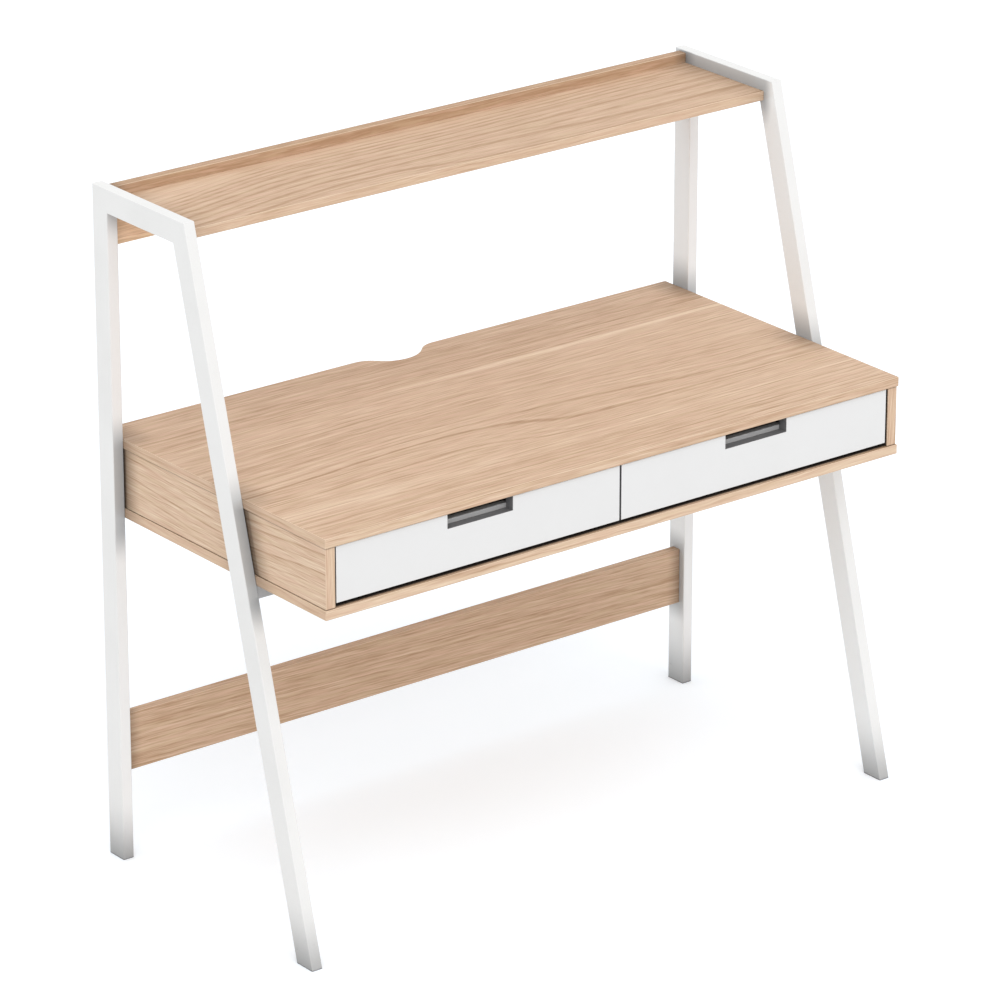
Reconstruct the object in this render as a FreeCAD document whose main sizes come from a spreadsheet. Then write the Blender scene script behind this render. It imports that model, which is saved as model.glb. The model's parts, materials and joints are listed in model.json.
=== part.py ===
import FreeCAD, Part
import math
import os
import Sketcher

# Computer desk. Two A-shaped side frames of white steel tube carry a flat box
# with two drawers, a shelf with a raised board behind it, and a low stretcher.
# Millimetres: +X to the right, +Y to the back, +Z up, origin on the floor
# under the middle of the desk.

sizeRows = [
    ("overall_width", "1200", "over the outer faces of the side frames"),
    ("overall_height", "1150", "floor to the top of the side frames"),
    ("desk_depth", "600", "desk top, front edge to back edge"),
    ("cut_overrun", "5", "how far a cut runs past the face that it opens"),
    # steel side frames
    ("tube_width", "20", "frame tube, seen from the front"),
    ("tube_depth", "40", "frame tube, seen from the side, square to its length"),
    ("tube_wall", "1.5", "frame tube wall"),
    ("tube_corner", "1.5", "outer corner radius of the tube"),
    ("rear_leg_setback", "20", "desk top's back edge to the rear leg's back"),
    ("front_foot_setback", "20", "desk top's front edge to the front foot, on the floor"),
    ("top_rail_length", "250", "rear leg's back to the front corner of the frame"),
    # cross bar between the front legs, on a stub at each end
    ("bar_size", "25", "square tube under the box"),
    ("bar_wall", "1.5", "wall of the bar and of its stubs"),
    ("bar_corner", "0.75", "outer corner radius of the bar and of its stubs"),
    ("bar_slip", "0.3", "gap between a stub and the bar, each side"),
    ("stub_length", "80", "stub on the leg's inner face"),
    ("stub_bolt_inset", "60", "leg to the bolt that locks the bar"),
    ("bar_screw_inset", "200", "leg to the outer screws into the box"),
    # feet
    ("foot_height", "2", "sole of a foot plug, below the tube"),
    ("foot_insert_length", "25", "part of the plug inside the tube"),
    ("foot_slip", "0.2", "gap between the plug and the tube, each side"),
    # box under the desk top
    ("desk_top_height", "729", "floor to the writing surface"),
    ("box_height", "134", "over the desk top and the bottom panel"),
    ("top_thickness", "16", "desk top board"),
    ("bottom_thickness", "16", "bottom panel"),
    ("side_thickness", "18", "side panels"),
    ("side_reveal", "2", "side panel to the frame tubes"),
    ("side_front_setback", "2", "side panel behind the front edge of the desk top"),
    ("divider_thickness", "16", "panel between the drawers"),
    ("divider_gap", "2", "divider behind the drawer fronts"),
    ("back_thickness", "16", "back panel"),
    ("channel_depth", "56", "open cable channel behind the back panel"),
    ("board_edge", "1", "edge radius of the boards"),
    ("notch_width", "160", "cable notch, over the ends of its rounded rim"),
    ("notch_depth", "36.5", "cable notch, from the back edge"),
    ("notch_floor_share", "0.58", "share of the floor arc in the two radii"),
    # shelf, the board behind it and the stretcher
    ("shelf_thickness", "16", "shelf board"),
    ("shelf_drop", "20.5", "top of the frames to the shelf"),
    ("shelf_depth", "202", "shelf, front to back"),
    ("lip_thickness", "18", "board behind the shelf"),
    ("lip_height", "96", "board behind the shelf"),
    ("lip_drop", "3.5", "top of the frames to that board"),
    ("lip_setback", "10", "that board in front of the rear leg's back"),
    ("stretcher_thickness", "18", "low board between the rear legs"),
    ("stretcher_height", "100", "low board between the rear legs"),
    ("stretcher_lift", "150", "floor to that board"),
    # drawer fronts
    ("front_thickness", "18", "drawer front"),
    ("front_setback", "4", "drawer front behind the front edge of the desk top"),
    ("front_top_gap", "2", "drawer front to the desk top"),
    ("front_bottom_gap", "7", "drawer front to the bottom panel"),
    ("front_side_gap", "3.5", "drawer front to the side panel"),
    ("front_centre_gap", "4", "between the two drawer fronts"),
    ("front_edge", "0.8", "edge radius of a drawer front"),
    ("pull_width", "128", "finger notch in the top edge of a front"),
    ("pull_depth", "24", "finger notch, below the top edge"),
    # drawer boxes
    ("drawer_wall", "12", "front, sides and back of a drawer box"),
    ("drawer_height", "72.5", "drawer box"),
    ("drawer_lift", "11", "drawer box above the bottom panel"),
    ("drawer_back_gap", "52", "drawer box to the back panel"),
    ("tray_thickness", "4", "drawer bottom"),
    ("tray_lift", "10", "drawer bottom above the lower edge of the sides"),
    ("tray_groove", "6", "groove that holds the drawer bottom"),
    ("tray_slip", "0.1", "drawer bottom in its groove"),
    # three-part ball slides
    ("slide_setback", "2", "rails behind the drawer front"),
    ("slide_end_setback", "2", "rails in front of the drawer box's back"),
    ("slide_thickness", "12.7", "panel to drawer side"),
    ("slide_height", "45", "cabinet rail"),
    ("rail_sheet", "1.2", "sheet of the rails"),
    ("cabinet_rail_reach", "10", "cabinet rail's flange"),
    ("rail_lip", "1.1", "lip that keeps the balls in"),
    ("middle_rail_start", "2.6", "panel to the middle rail"),
    ("middle_rail_reach", "8.4", "middle rail's flange"),
    ("drawer_rail_reach", "7.7", "drawer rail's flange"),
    ("ball_diameter", "3", "balls"),
    ("race_gap", "0.05", "between a ball and its race"),
    ("cage_sheet", "0.6", "sheet of the ball cages"),
    ("cage_shortfall", "5", "how much a ball cage is shorter than half a rail"),
    ("cage_gap", "0.4", "ball cage to the rail beside it"),
    ("cage_reach", "6", "ball cage's flange"),
    ("ball_inset", "8", "end of a ball cage to its first ball"),
    ("rail_screw_inset", "45", "end of a rail to its outer screws"),
    # fixings
    ("bolt_diameter", "6", "machine bolts"),
    ("bolt_slack", "0.4", "hole over bolt"),
    ("thread_slack", "0.1", "nut's bore over bolt"),
    ("bolt_head_diameter", "13", "machine bolt heads"),
    ("bolt_head_height", "3.5", "machine bolt heads"),
    ("bolt_head_chamfer", "1.5", "machine bolt heads"),
    ("bolt_tip", "1.5", "bolt past its nut"),
    ("bolt_inset", "12", "box bolts from the top and bottom panels"),
    ("nut_across_corners", "11.5", "hexagon nuts inside the tubes"),
    ("nut_height", "5", "hexagon nuts inside the tubes"),
    ("spacer_diameter", "14", "washers between the box and the frames"),
    ("cam_diameter", "15", "cam lock pocket"),
    ("cam_depth", "13", "cam lock pocket"),
    ("cam_slack", "0.3", "cam lock in its pocket"),
    ("cam_setback", "34", "board's end to the cam lock"),
    ("cam_pin_diameter", "7", "cam pin"),
    ("cam_pin_slack", "1", "bore over cam pin"),
    ("cam_pin_neck", "2", "how much the neck is thinner"),
    ("cam_pin_head", "3", "length of the pin's head and of its neck"),
    ("cam_pin_height", "8", "pocketed face to the pin"),
    ("shelf_pin_inset", "45", "shelf pins from the shelf's edges"),
    ("lip_pin_inset", "30", "pins from the edges of the board behind the shelf"),
    ("stretcher_pin_inset", "25", "pins from the stretcher's edges"),
    ("dowel_diameter", "8", "wood dowels"),
    ("dowel_length", "30", "wood dowels"),
    ("dowel_chamfer", "1", "wood dowels"),
    ("dowel_top_depth", "10", "dowel in the desk top"),
    ("dowel_inset", "60", "dowels and screws from the ends of a panel"),
    ("fit_slack", "0.1", "hole over a screw or dowel"),
    ("panel_screw_diameter", "5", "screws up through the bottom panel"),
    ("panel_screw_length", "50", "screws up through the bottom panel"),
    ("panel_screw_head", "10", "screws up through the bottom panel"),
    ("screw_head_height", "2", "heads of all wood screws"),
    ("wood_screw_diameter", "3.5", "drawer screws"),
    ("wood_screw_head", "7", "drawer and bar screws"),
    ("corner_screw_length", "35", "drawer corners"),
    ("corner_screw_inset", "5", "drawer corner screws from the edges"),
    ("front_screw_length", "25", "drawer box to drawer front"),
    ("front_screw_spread", "180", "front screws from the middle of the front"),
    ("front_screw_inset", "12", "front screws from the drawer bottom and top edge"),
    ("bar_screw_length", "14", "cross bar to the bottom panel"),
    ("access_diameter", "12", "holes for the screwdriver under the bar"),
    ("rail_screw_diameter", "3.5", "rail screws"),
    ("rail_screw_sink", "1", "countersunk heads, flush with the rail's web"),
    ("rail_screw_length", "8", "rail screws, with the head"),
]

# Places that follow from the sizes, for the right half where there are two.
placeRows = [
    ("frame_inner", "Size.overall_width / 2 - Size.tube_width"),
    ("tube_mid", "Size.overall_width / 2 - Size.tube_width / 2"),
    ("desk_back", "Size.desk_depth / 2"),
    ("leg_back", "Place.desk_back - Size.rear_leg_setback"),
    ("leg_front", "Place.leg_back - Size.tube_depth"),
    ("leg_middle", "Place.leg_back - Size.tube_depth / 2"),
    ("rail_front", "Place.leg_back - Size.top_rail_length"),
    ("rail_under", "Size.overall_height - Size.tube_depth"),
    ("foot_front", "Size.front_foot_setback - Place.desk_back"),
    ("leg_slope", "(Place.rail_front - Place.foot_front) / Size.overall_height"),
    ("leg_secant", "sqrt(1 + Place.leg_slope ^ 2)"),
    ("leg_level", "Size.tube_depth * Place.leg_secant"),
    ("wall_level", "Size.tube_wall * Place.leg_secant"),
    ("mitre_inner", "Place.rail_front - Place.leg_slope * Size.tube_depth + Place.leg_level"),
    ("mitre_lean", "(Place.mitre_inner - Place.rail_front) / Size.tube_depth"),
    ("top_under", "Size.desk_top_height - Size.top_thickness"),
    ("box_low", "Size.desk_top_height - Size.box_height"),
    ("box_floor", "Place.box_low + Size.bottom_thickness"),
    ("side_out", "Place.frame_inner - Size.side_reveal"),
    ("side_in", "Place.side_out - Size.side_thickness"),
    ("side_middle", "Place.side_out - Size.side_thickness / 2"),
    ("side_front", "Size.side_front_setback - Place.desk_back"),
    ("back_rear", "Place.desk_back - Size.channel_depth"),
    ("back_front", "Place.back_rear - Size.back_thickness"),
    ("back_middle", "Place.back_rear - Size.back_thickness / 2"),
    ("front_face", "Size.front_setback - Place.desk_back"),
    ("front_back", "Place.front_face + Size.front_thickness"),
    ("front_low", "Place.box_floor + Size.front_bottom_gap"),
    ("front_high", "Place.top_under - Size.front_top_gap"),
    ("front_in", "Size.front_centre_gap / 2"),
    ("front_out", "Place.side_in - Size.front_side_gap"),
    ("front_middle", "(Place.front_in + Place.front_out) / 2"),
    ("pull_low", "Place.front_high - Size.pull_depth"),
    ("divider_half", "Size.divider_thickness / 2"),
    ("divider_front", "Place.front_back + Size.divider_gap"),
    ("notch_half", "Size.notch_width / 2"),
    ("notch_radii", "(Place.notch_half ^ 2 + Size.notch_depth ^ 2) / (2 * Size.notch_depth)"),
    ("notch_floor_radius", "Place.notch_radii * Size.notch_floor_share"),
    ("notch_rim_radius", "Place.notch_radii - Place.notch_floor_radius"),
    ("notch_turn_half", "Place.notch_half * Size.notch_floor_share"),
    ("notch_turn_depth", "Size.notch_depth * (1 - Size.notch_floor_share)"),
    ("shelf_high", "Size.overall_height - Size.shelf_drop"),
    ("shelf_low", "Place.shelf_high - Size.shelf_thickness"),
    ("lip_back", "Place.leg_back - Size.lip_setback"),
    ("lip_front", "Place.lip_back - Size.lip_thickness"),
    ("lip_high", "Size.overall_height - Size.lip_drop"),
    ("lip_low", "Place.lip_high - Size.lip_height"),
    ("shelf_front", "Place.lip_front - Size.shelf_depth"),
    ("stretcher_high", "Size.stretcher_lift + Size.stretcher_height"),
    ("stretcher_front", "Place.lip_back - Size.stretcher_thickness"),
    ("bar_low", "Place.box_low - Size.bar_size"),
    ("bar_height", "Place.box_low - Size.bar_size / 2"),
    ("bar_middle", "Place.foot_front + Place.leg_slope * Place.bar_height + Place.leg_level / 2"),
    ("stub_size", "Size.bar_size - 2 * Size.bar_wall - 2 * Size.bar_slip"),
    ("drawer_in", "Place.divider_half + Size.slide_thickness"),
    ("drawer_out", "Place.side_in - Size.slide_thickness"),
    ("drawer_low", "Place.box_floor + Size.drawer_lift"),
    ("drawer_high", "Place.drawer_low + Size.drawer_height"),
    ("drawer_rear", "Place.back_front - Size.drawer_back_gap"),
    ("tray_low", "Place.drawer_low + Size.tray_lift"),
    ("tray_high", "Place.tray_low + Size.tray_thickness"),
    ("slide_height", "Place.drawer_low + Size.drawer_height / 2"),
    ("slide_front", "Place.front_back + Size.slide_setback"),
    ("slide_rear", "Place.drawer_rear - Size.slide_end_setback"),
    ("slide_length", "Place.slide_rear - Place.slide_front"),
    ("slide_middle", "(Place.slide_front + Place.slide_rear) / 2"),
    ("cage_length", "Place.slide_length / 2 - Size.cage_shortfall"),
    ("ball_run", "Place.cage_length - 2 * Size.ball_inset"),
    ("outer_race", "Size.slide_height / 2 - Size.rail_sheet"),
    ("outer_balls", "Place.outer_race - Size.race_gap - Size.ball_diameter / 2"),
    ("middle_rail_half", "Place.outer_balls - Size.ball_diameter / 2 - Size.race_gap"),
    ("inner_race", "Place.middle_rail_half - Size.rail_sheet"),
    ("inner_balls", "Place.inner_race - Size.race_gap - Size.ball_diameter / 2"),
    ("drawer_rail_half", "Place.inner_balls - Size.ball_diameter / 2 - Size.race_gap"),
    ("outer_cage_start", "Size.rail_sheet + Size.cage_gap"),
    ("inner_cage_start", "Size.middle_rail_start + Size.rail_sheet + Size.cage_gap"),
    ("rail_screw_spread", "Place.slide_length / 2 - Size.rail_screw_inset"),
    ("box_bolt_length", "Size.side_thickness + Size.side_reveal + Place.grip_length"),
    ("grip_length", "Size.tube_wall + Size.nut_height + Size.bolt_tip"),
    ("bar_bolt_length", "2 * Size.bar_wall + Size.bar_slip + Size.nut_height + Size.bolt_tip"),
    ("bolt_hole", "Size.bolt_diameter + Size.bolt_slack"),
]

doc = FreeCAD.newDocument("ComputerDesk")
sizeSheet = doc.addObject("Spreadsheet::Sheet", "Size")
for row, (alias, text, note) in enumerate(sizeRows, 1):
    sizeSheet.set(f"A{row}", alias)
    sizeSheet.set(f"B{row}", text)
    sizeSheet.setAlias(f"B{row}", alias)
    sizeSheet.set(f"C{row}", note)
placeSheet = doc.addObject("Spreadsheet::Sheet", "Place")
for row, (alias, formula) in enumerate(placeRows, 1):
    placeSheet.set(f"A{row}", alias)
    placeSheet.setAlias(f"B{row}", alias)
for row, (alias, formula) in enumerate(placeRows, 1):
    placeSheet.set(f"B{row}", "=" + formula)
doc.recompute()

nodes = {}
sides = (("left", -1), ("right", 1))
sameSpot = 1e-6
ballsPerRow = 7


def number(expression):
    return float(placeSheet.evalExpression(expression))


def signed(sign, expression):
    return expression if sign > 0 else f"-({expression})"


def span(sign, near, far):
    return (near, far) if sign > 0 else (signed(-1, far), signed(-1, near))


def middle(low, high):
    return f"(({low}) + ({high})) / 2"


def newBody(name):
    item = doc.addObject("PartDesign::Body", name)
    item.Label = name
    return item


def keep(item):
    nodes[item.Label] = item
    return item


def newSketch(item, name, role, level="0"):
    # a drawing on one of the body's own planes, moved to a level along that plane's axis
    drawing = item.newObject("Sketcher::SketchObject", f"{item.Label}_{name}")
    plane = [each for each in item.Origin.OriginFeatures if each.Role == role][0]
    drawing.AttachmentSupport = [(plane, "")]
    drawing.MapMode = "FlatFace"
    away = f"-({level})" if role == "XZ_Plane" else level
    drawing.setExpression("AttachmentOffset.Base.z", away)
    return drawing


def pin(drawing, geometry, point, across, up):
    for kind, expression in (("DistanceX", across), ("DistanceY", up)):
        constraint = Sketcher.Constraint(kind, -1, 1, geometry, point, number(expression))
        index = drawing.addConstraint(constraint)
        drawing.setExpression(f"Constraints[{index}]", expression)


def arcBetween(start, end, radius, turn):
    # the short arc from start to end; turn +1 runs anticlockwise, -1 clockwise
    chord = end - start
    rise = math.sqrt(radius ** 2 - (chord.Length / 2) ** 2)
    square = FreeCAD.Vector(-chord.y, chord.x, 0).normalize()
    centre = (start + end) / 2 + square * rise * turn
    bulge = centre - square * radius * turn
    return Part.Arc(start, bulge, end)


def outline(drawing, corners, arcs=None):
    # one closed run through the corners; arcs gives (radius, turn) for the edge after a corner
    arcs = arcs or {}
    points = [FreeCAD.Vector(number(across), number(up), 0) for across, up in corners]
    count = len(points)
    for index, start in enumerate(points):
        end = points[(index + 1) % count]
        if index in arcs:
            radius, turn = arcs[index]
            drawing.addGeometry(arcBetween(start, end, number(radius), turn))
        else:
            drawing.addGeometry(Part.LineSegment(start, end))
    ends = [(2, 1) if arcs.get(index, ("", 1))[1] > 0 else (1, 2) for index in range(count)]
    for index in range(count):
        after = (index + 1) % count
        joint = Sketcher.Constraint("Coincident", index, ends[index][0], after, ends[after][1])
        drawing.addConstraint(joint)
    for index, (across, up) in enumerate(corners):
        pin(drawing, index, ends[index][1], across, up)
    for index, (radius, turn) in arcs.items():
        constraint = drawing.addConstraint(Sketcher.Constraint("Radius", index, number(radius)))
        drawing.setExpression(f"Constraints[{constraint}]", radius)


def rectangle(low, high):
    return [(low[0], low[1]), (high[0], low[1]), (high[0], high[1]), (low[0], high[1])]


def extend(item, kind, name, role, corners, low, high, arcs=None):
    # a Pad or a Pocket of one closed outline, from low to high along the plane's axis
    drawing = newSketch(item, f"{name}_outline", role, middle(low, high))
    outline(drawing, corners, arcs)
    feature = item.newObject(f"PartDesign::{kind}", f"{item.Label}_{name}")
    feature.Profile = drawing
    feature.SideType = "Symmetric"
    feature.setExpression("Length", f"({high}) - ({low})")
    return feature


def drill(item, name, role, centres, diameter, low, high):
    drawing = newSketch(item, f"{name}_centres", role, middle(low, high))
    for index, (across, up) in enumerate(centres):
        centre = FreeCAD.Vector(number(across), number(up), 0)
        radius = number(diameter) / 2
        drawing.addGeometry(Part.Circle(centre, FreeCAD.Vector(0, 0, 1), radius))
        pin(drawing, index, 3, across, up)
        constraint = drawing.addConstraint(Sketcher.Constraint("Diameter", index, 2 * radius))
        drawing.setExpression(f"Constraints[{constraint}]", diameter)
    doc.recompute()
    before = item.Shape.Volume
    feature = item.newObject("PartDesign::Pocket", f"{item.Label}_{name}")
    feature.Profile = drawing
    feature.SideType = "Symmetric"
    feature.setExpression("Length", f"({high}) - ({low})")
    doc.recompute()
    if item.Shape.Volume >= before:
        raise RuntimeError(f"{item.Label}: {name} cuts nothing")
    return feature


def roundEdges(item, radius, wanted=None):
    doc.recompute()
    feature = item.Tip
    names = []
    for index, edge in enumerate(feature.Shape.Edges, 1):
        if wanted is None or wanted(edge):
            names.append(f"Edge{index}")
    soft = item.newObject("PartDesign::Fillet", f"{item.Label}_soft_edges")
    soft.Base = (feature, names)
    soft.setExpression("Radius", radius)
    doc.recompute()
    return soft


def board(name, low, high, radius="Size.board_edge"):
    item = keep(newBody(name))
    corners = rectangle(low, high)
    extend(item, "Pad", "slab", "XY_Plane", corners, low[2], high[2])
    if radius:
        roundEdges(item, radius)
    return item


def along(direction):
    # picks the straight edges that run along a direction
    wanted = FreeCAD.Vector(*direction).normalize()

    def test(edge):
        if len(edge.Vertexes) != 2:
            return False
        run = (edge.Vertexes[1].Point - edge.Vertexes[0].Point).normalize()
        return abs(abs(run.dot(wanted)) - 1) < sameSpot

    return test


def atHeight(height):
    # picks the edges that lie at one height
    level = number(height)

    def test(edge):
        return all(abs(vertex.Point.z - level) < sameSpot for vertex in edge.Vertexes)

    return test


def turned(name, profile):
    # a solid turned about its own Z axis from a run of (radius, height)
    item = newBody(name)
    drawing = newSketch(item, "profile", "XZ_Plane")
    outline(drawing, profile)
    solid = item.newObject("PartDesign::Revolution", f"{name}_turned")
    solid.Profile = drawing
    solid.ReferenceAxis = (drawing, ["V_Axis"])
    solid.Angle = 360
    return item


def facing(direction):
    return FreeCAD.Rotation(FreeCAD.Vector(0, 0, 1), FreeCAD.Vector(*direction))


def seat(item, spot, rotation):
    item.Placement = FreeCAD.Placement(FreeCAD.Vector(0, 0, 0), rotation)
    for axis, expression in zip("xyz", spot):
        item.setExpression(f"Placement.Base.{axis}", expression)


def copies(name, spots):
    # one node of equal small pieces; each spot is (piece, place, rotation)
    links = []
    for index, (piece, spot, rotation) in enumerate(spots, 1):
        link = doc.addObject("App::Link", f"{name}_{index}")
        link.LinkedObject = piece
        seat(link, spot, rotation)
        links.append(link)
    group = doc.addObject("Part::Compound", name)
    group.Label = name
    group.Links = links
    return keep(group)


# Points that pieces share

def legLine(height):
    # middle of the front leg at a height
    return f"Place.foot_front + Place.leg_slope * ({height}) + Place.leg_level / 2"


boxBoltHeights = [
    "Place.box_floor + Size.bolt_inset",
    "Place.top_under - Size.bolt_inset",
]
rearBoltSpots = [("Place.leg_middle", height) for height in boxBoltHeights]
frontBoltSpots = [(legLine(height), height) for height in boxBoltHeights]
shelfPinSpots = [
    ("Place.shelf_front + Size.shelf_pin_inset", "Place.shelf_low + Size.cam_pin_height"),
    ("Place.lip_front - Size.shelf_pin_inset", "Place.shelf_low + Size.cam_pin_height"),
]
lipPinSpots = [
    ("Place.lip_back - Size.cam_pin_height", "Place.lip_low + Size.lip_pin_inset"),
    ("Place.lip_back - Size.cam_pin_height", "Place.lip_high - Size.lip_pin_inset"),
]
stretcherPinSpots = [
    ("Place.lip_back - Size.cam_pin_height", "Size.stretcher_lift + Size.stretcher_pin_inset"),
    ("Place.lip_back - Size.cam_pin_height", "Place.stretcher_high - Size.stretcher_pin_inset"),
]
sideDowels = [
    "Place.side_front + Size.dowel_inset",
    middle("Place.side_front", "Place.desk_back"),
    "Place.desk_back - Size.dowel_inset",
]
backDowels = ["Size.dowel_inset - Place.side_in", "0", "Place.side_in - Size.dowel_inset"]
dividerDowels = ["Place.divider_front + Size.dowel_inset", "Place.back_front - Size.dowel_inset"]
sideSpots = {
    sign: [(signed(sign, "Place.side_middle"), depth) for depth in sideDowels]
    for _, sign in sides
}
backSpots = [(across, "Place.back_middle") for across in backDowels]
dividerSpots = [("0", depth) for depth in dividerDowels]
uprightSpots = sideSpots[-1] + sideSpots[1] + backSpots + dividerSpots
railScrewRuns = ["-Place.rail_screw_spread", "0", "Place.rail_screw_spread"]
stubBoltAcross = "Place.frame_inner - Size.stub_bolt_inset"
barScrewAcross = [
    "Size.bar_screw_inset - Place.frame_inner",
    "0",
    "Place.frame_inner - Size.bar_screw_inset",
]


# Side frames: two legs and a top rail each, mitred and welded

def frameTube(name, sign, solid, cavity, direction, holes):
    item = keep(newBody(name))
    halfWidth = "Size.tube_width / 2"
    halfBore = "Size.tube_width / 2 - Size.tube_wall"
    extend(item, "Pad", "tube", "YZ_Plane", solid, f"-{halfWidth}", halfWidth)
    roundEdges(item, "Size.tube_corner", along(direction))
    extend(item, "Pocket", "bore", "YZ_Plane", cavity, f"-({halfBore})", halfBore)
    wall = (f"{halfBore} - Size.cut_overrun", f"{halfWidth} + Size.cut_overrun")
    low, high = span(-sign, *wall)
    drill(item, "bolt_holes", "YZ_Plane", holes, "Place.bolt_hole", low, high)
    item.setExpression("Placement.Base.x", signed(sign, "Place.tube_mid"))


def leaningPoint(height, across="0"):
    return (f"Place.foot_front + Place.leg_slope * ({height}) + {across}", height)


outerBore = "Size.overall_height - Size.tube_wall"
innerBore = "Place.rail_under + Size.tube_wall"
rearInner = "Place.leg_front + Size.tube_wall"
rearOuter = "Place.leg_back - Size.tube_wall"
frontMitreOuter = "Place.rail_front + Place.mitre_lean * Size.tube_wall"
frontMitreInner = "Place.mitre_inner - Place.mitre_lean * Size.tube_wall"
belowFoot = "Size.foot_height - Size.cut_overrun"
for side, sign in sides:
    frameTube(
        f"{side}_rear_leg",
        sign,
        [
            ("Place.leg_front", "Size.foot_height"),
            ("Place.leg_back", "Size.foot_height"),
            ("Place.leg_back", "Size.overall_height"),
            ("Place.leg_front", "Place.rail_under"),
        ],
        [
            (rearInner, belowFoot),
            (rearOuter, belowFoot),
            (rearOuter, outerBore),
            (rearInner, innerBore),
        ],
        (0, 0, 1),
        rearBoltSpots + lipPinSpots + stretcherPinSpots,
    )
    frameTube(
        f"{side}_top_rail",
        sign,
        [
            ("Place.mitre_inner", "Place.rail_under"),
            ("Place.leg_front", "Place.rail_under"),
            ("Place.leg_back", "Size.overall_height"),
            ("Place.rail_front", "Size.overall_height"),
        ],
        [
            (frontMitreInner, innerBore),
            (rearInner, innerBore),
            (rearOuter, outerBore),
            (frontMitreOuter, outerBore),
        ],
        (0, 1, 0),
        shelfPinSpots,
    )
    frameTube(
        f"{side}_front_leg",
        sign,
        [
            leaningPoint("Size.foot_height"),
            leaningPoint("Size.foot_height", "Place.leg_level"),
            ("Place.mitre_inner", "Place.rail_under"),
            ("Place.rail_front", "Size.overall_height"),
        ],
        [
            leaningPoint(belowFoot, "Place.wall_level"),
            leaningPoint(belowFoot, "Place.leg_level - Place.wall_level"),
            (frontMitreInner, innerBore),
            (frontMitreOuter, outerBore),
        ],
        (0, number("Place.leg_slope"), 1),
        frontBoltSpots,
    )


# Cross bar under the box, and the stubs on the legs that it slides over

def squareTube(name, outer, low, high):
    item = keep(newBody(name))
    centre = ("Place.bar_middle", "Place.bar_height")
    inner = f"{outer} - 2 * Size.bar_wall"
    for feature, kind, size in (("tube", "Pad", outer), ("bore", "Pocket", inner)):
        corners = rectangle(
            [f"{place} - ({size}) / 2" for place in centre],
            [f"{place} + ({size}) / 2" for place in centre],
        )
        extend(item, kind, feature, "YZ_Plane", corners, low, high)
        if kind == "Pad":
            roundEdges(item, "Size.bar_corner", along((1, 0, 0)))
    return item


bar = squareTube("front_cross_bar", "Size.bar_size", "-Place.frame_inner", "Place.frame_inner")
barBoltSpots = [(signed(sign, stubBoltAcross), "Place.bar_middle") for _, sign in sides]
barScrewSpots = [(across, "Place.bar_middle") for across in barScrewAcross]
barLowWall = (
    "Place.bar_low - Size.cut_overrun",
    "Place.bar_low + Size.bar_wall + Size.cut_overrun",
)
drill(bar, "bolt_holes", "XY_Plane", barBoltSpots, "Place.bolt_hole", *barLowWall)
drill(bar, "access_holes", "XY_Plane", barScrewSpots, "Size.access_diameter", *barLowWall)
drill(
    bar,
    "screw_holes",
    "XY_Plane",
    barScrewSpots,
    "Size.wood_screw_diameter + Size.bolt_slack",
    "Place.box_low - Size.bar_wall - Size.cut_overrun",
    "Place.box_low + Size.cut_overrun",
)
for side, sign in sides:
    low, high = span(sign, "Place.frame_inner - Size.stub_length", "Place.frame_inner")
    stub = squareTube(f"{side}_bar_stub", "Place.stub_size", low, high)
    stubFloor = "Place.bar_height - Place.stub_size / 2"
    drill(
        stub,
        "bolt_hole",
        "XY_Plane",
        [(signed(sign, stubBoltAcross), "Place.bar_middle")],
        "Place.bolt_hole",
        f"{stubFloor} - Size.cut_overrun",
        f"{stubFloor} + Size.bar_wall + Size.cut_overrun",
    )


# Foot plugs

def footPlug(name, sole, insert, direction):
    item = newBody(name)
    halfWidth = "Size.tube_width / 2"
    halfInsert = "Size.tube_width / 2 - Size.tube_wall - Size.foot_slip"
    extend(item, "Pad", "sole", "YZ_Plane", sole, f"-{halfWidth}", halfWidth)
    roundEdges(item, "Size.tube_corner", along(direction))
    extend(item, "Pad", "insert", "YZ_Plane", insert, f"-({halfInsert})", halfInsert)
    return item


insertTop = "Size.foot_height + Size.foot_insert_length"
rearPlug = footPlug(
    "rear_plug",
    rectangle(("Place.leg_front", "0"), ("Place.leg_back", "Size.foot_height")),
    rectangle(
        (f"{rearInner} + Size.foot_slip", "Size.foot_height"),
        (f"{rearOuter} - Size.foot_slip", insertTop),
    ),
    (0, 0, 1),
)
slipLevel = "Place.wall_level + Size.foot_slip * Place.leg_secant"
frontPlug = footPlug(
    "front_plug",
    [
        leaningPoint("0"),
        leaningPoint("0", "Place.leg_level"),
        leaningPoint("Size.foot_height", "Place.leg_level"),
        leaningPoint("Size.foot_height"),
    ],
    [
        leaningPoint("Size.foot_height", slipLevel),
        leaningPoint("Size.foot_height", f"Place.leg_level - ({slipLevel})"),
        leaningPoint(insertTop, f"Place.leg_level - ({slipLevel})"),
        leaningPoint(insertTop, slipLevel),
    ],
    (0, number("Place.leg_slope"), 1),
)
upright = FreeCAD.Rotation()
tubeSpots = [(signed(sign, "Place.tube_mid"), "0", "0") for _, sign in sides]
copies("rear_feet", [(rearPlug, spot, upright) for spot in tubeSpots])
copies("front_feet", [(frontPlug, spot, upright) for spot in tubeSpots])


# Desk top and bottom panel, both with the cable notch in the back edge

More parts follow.
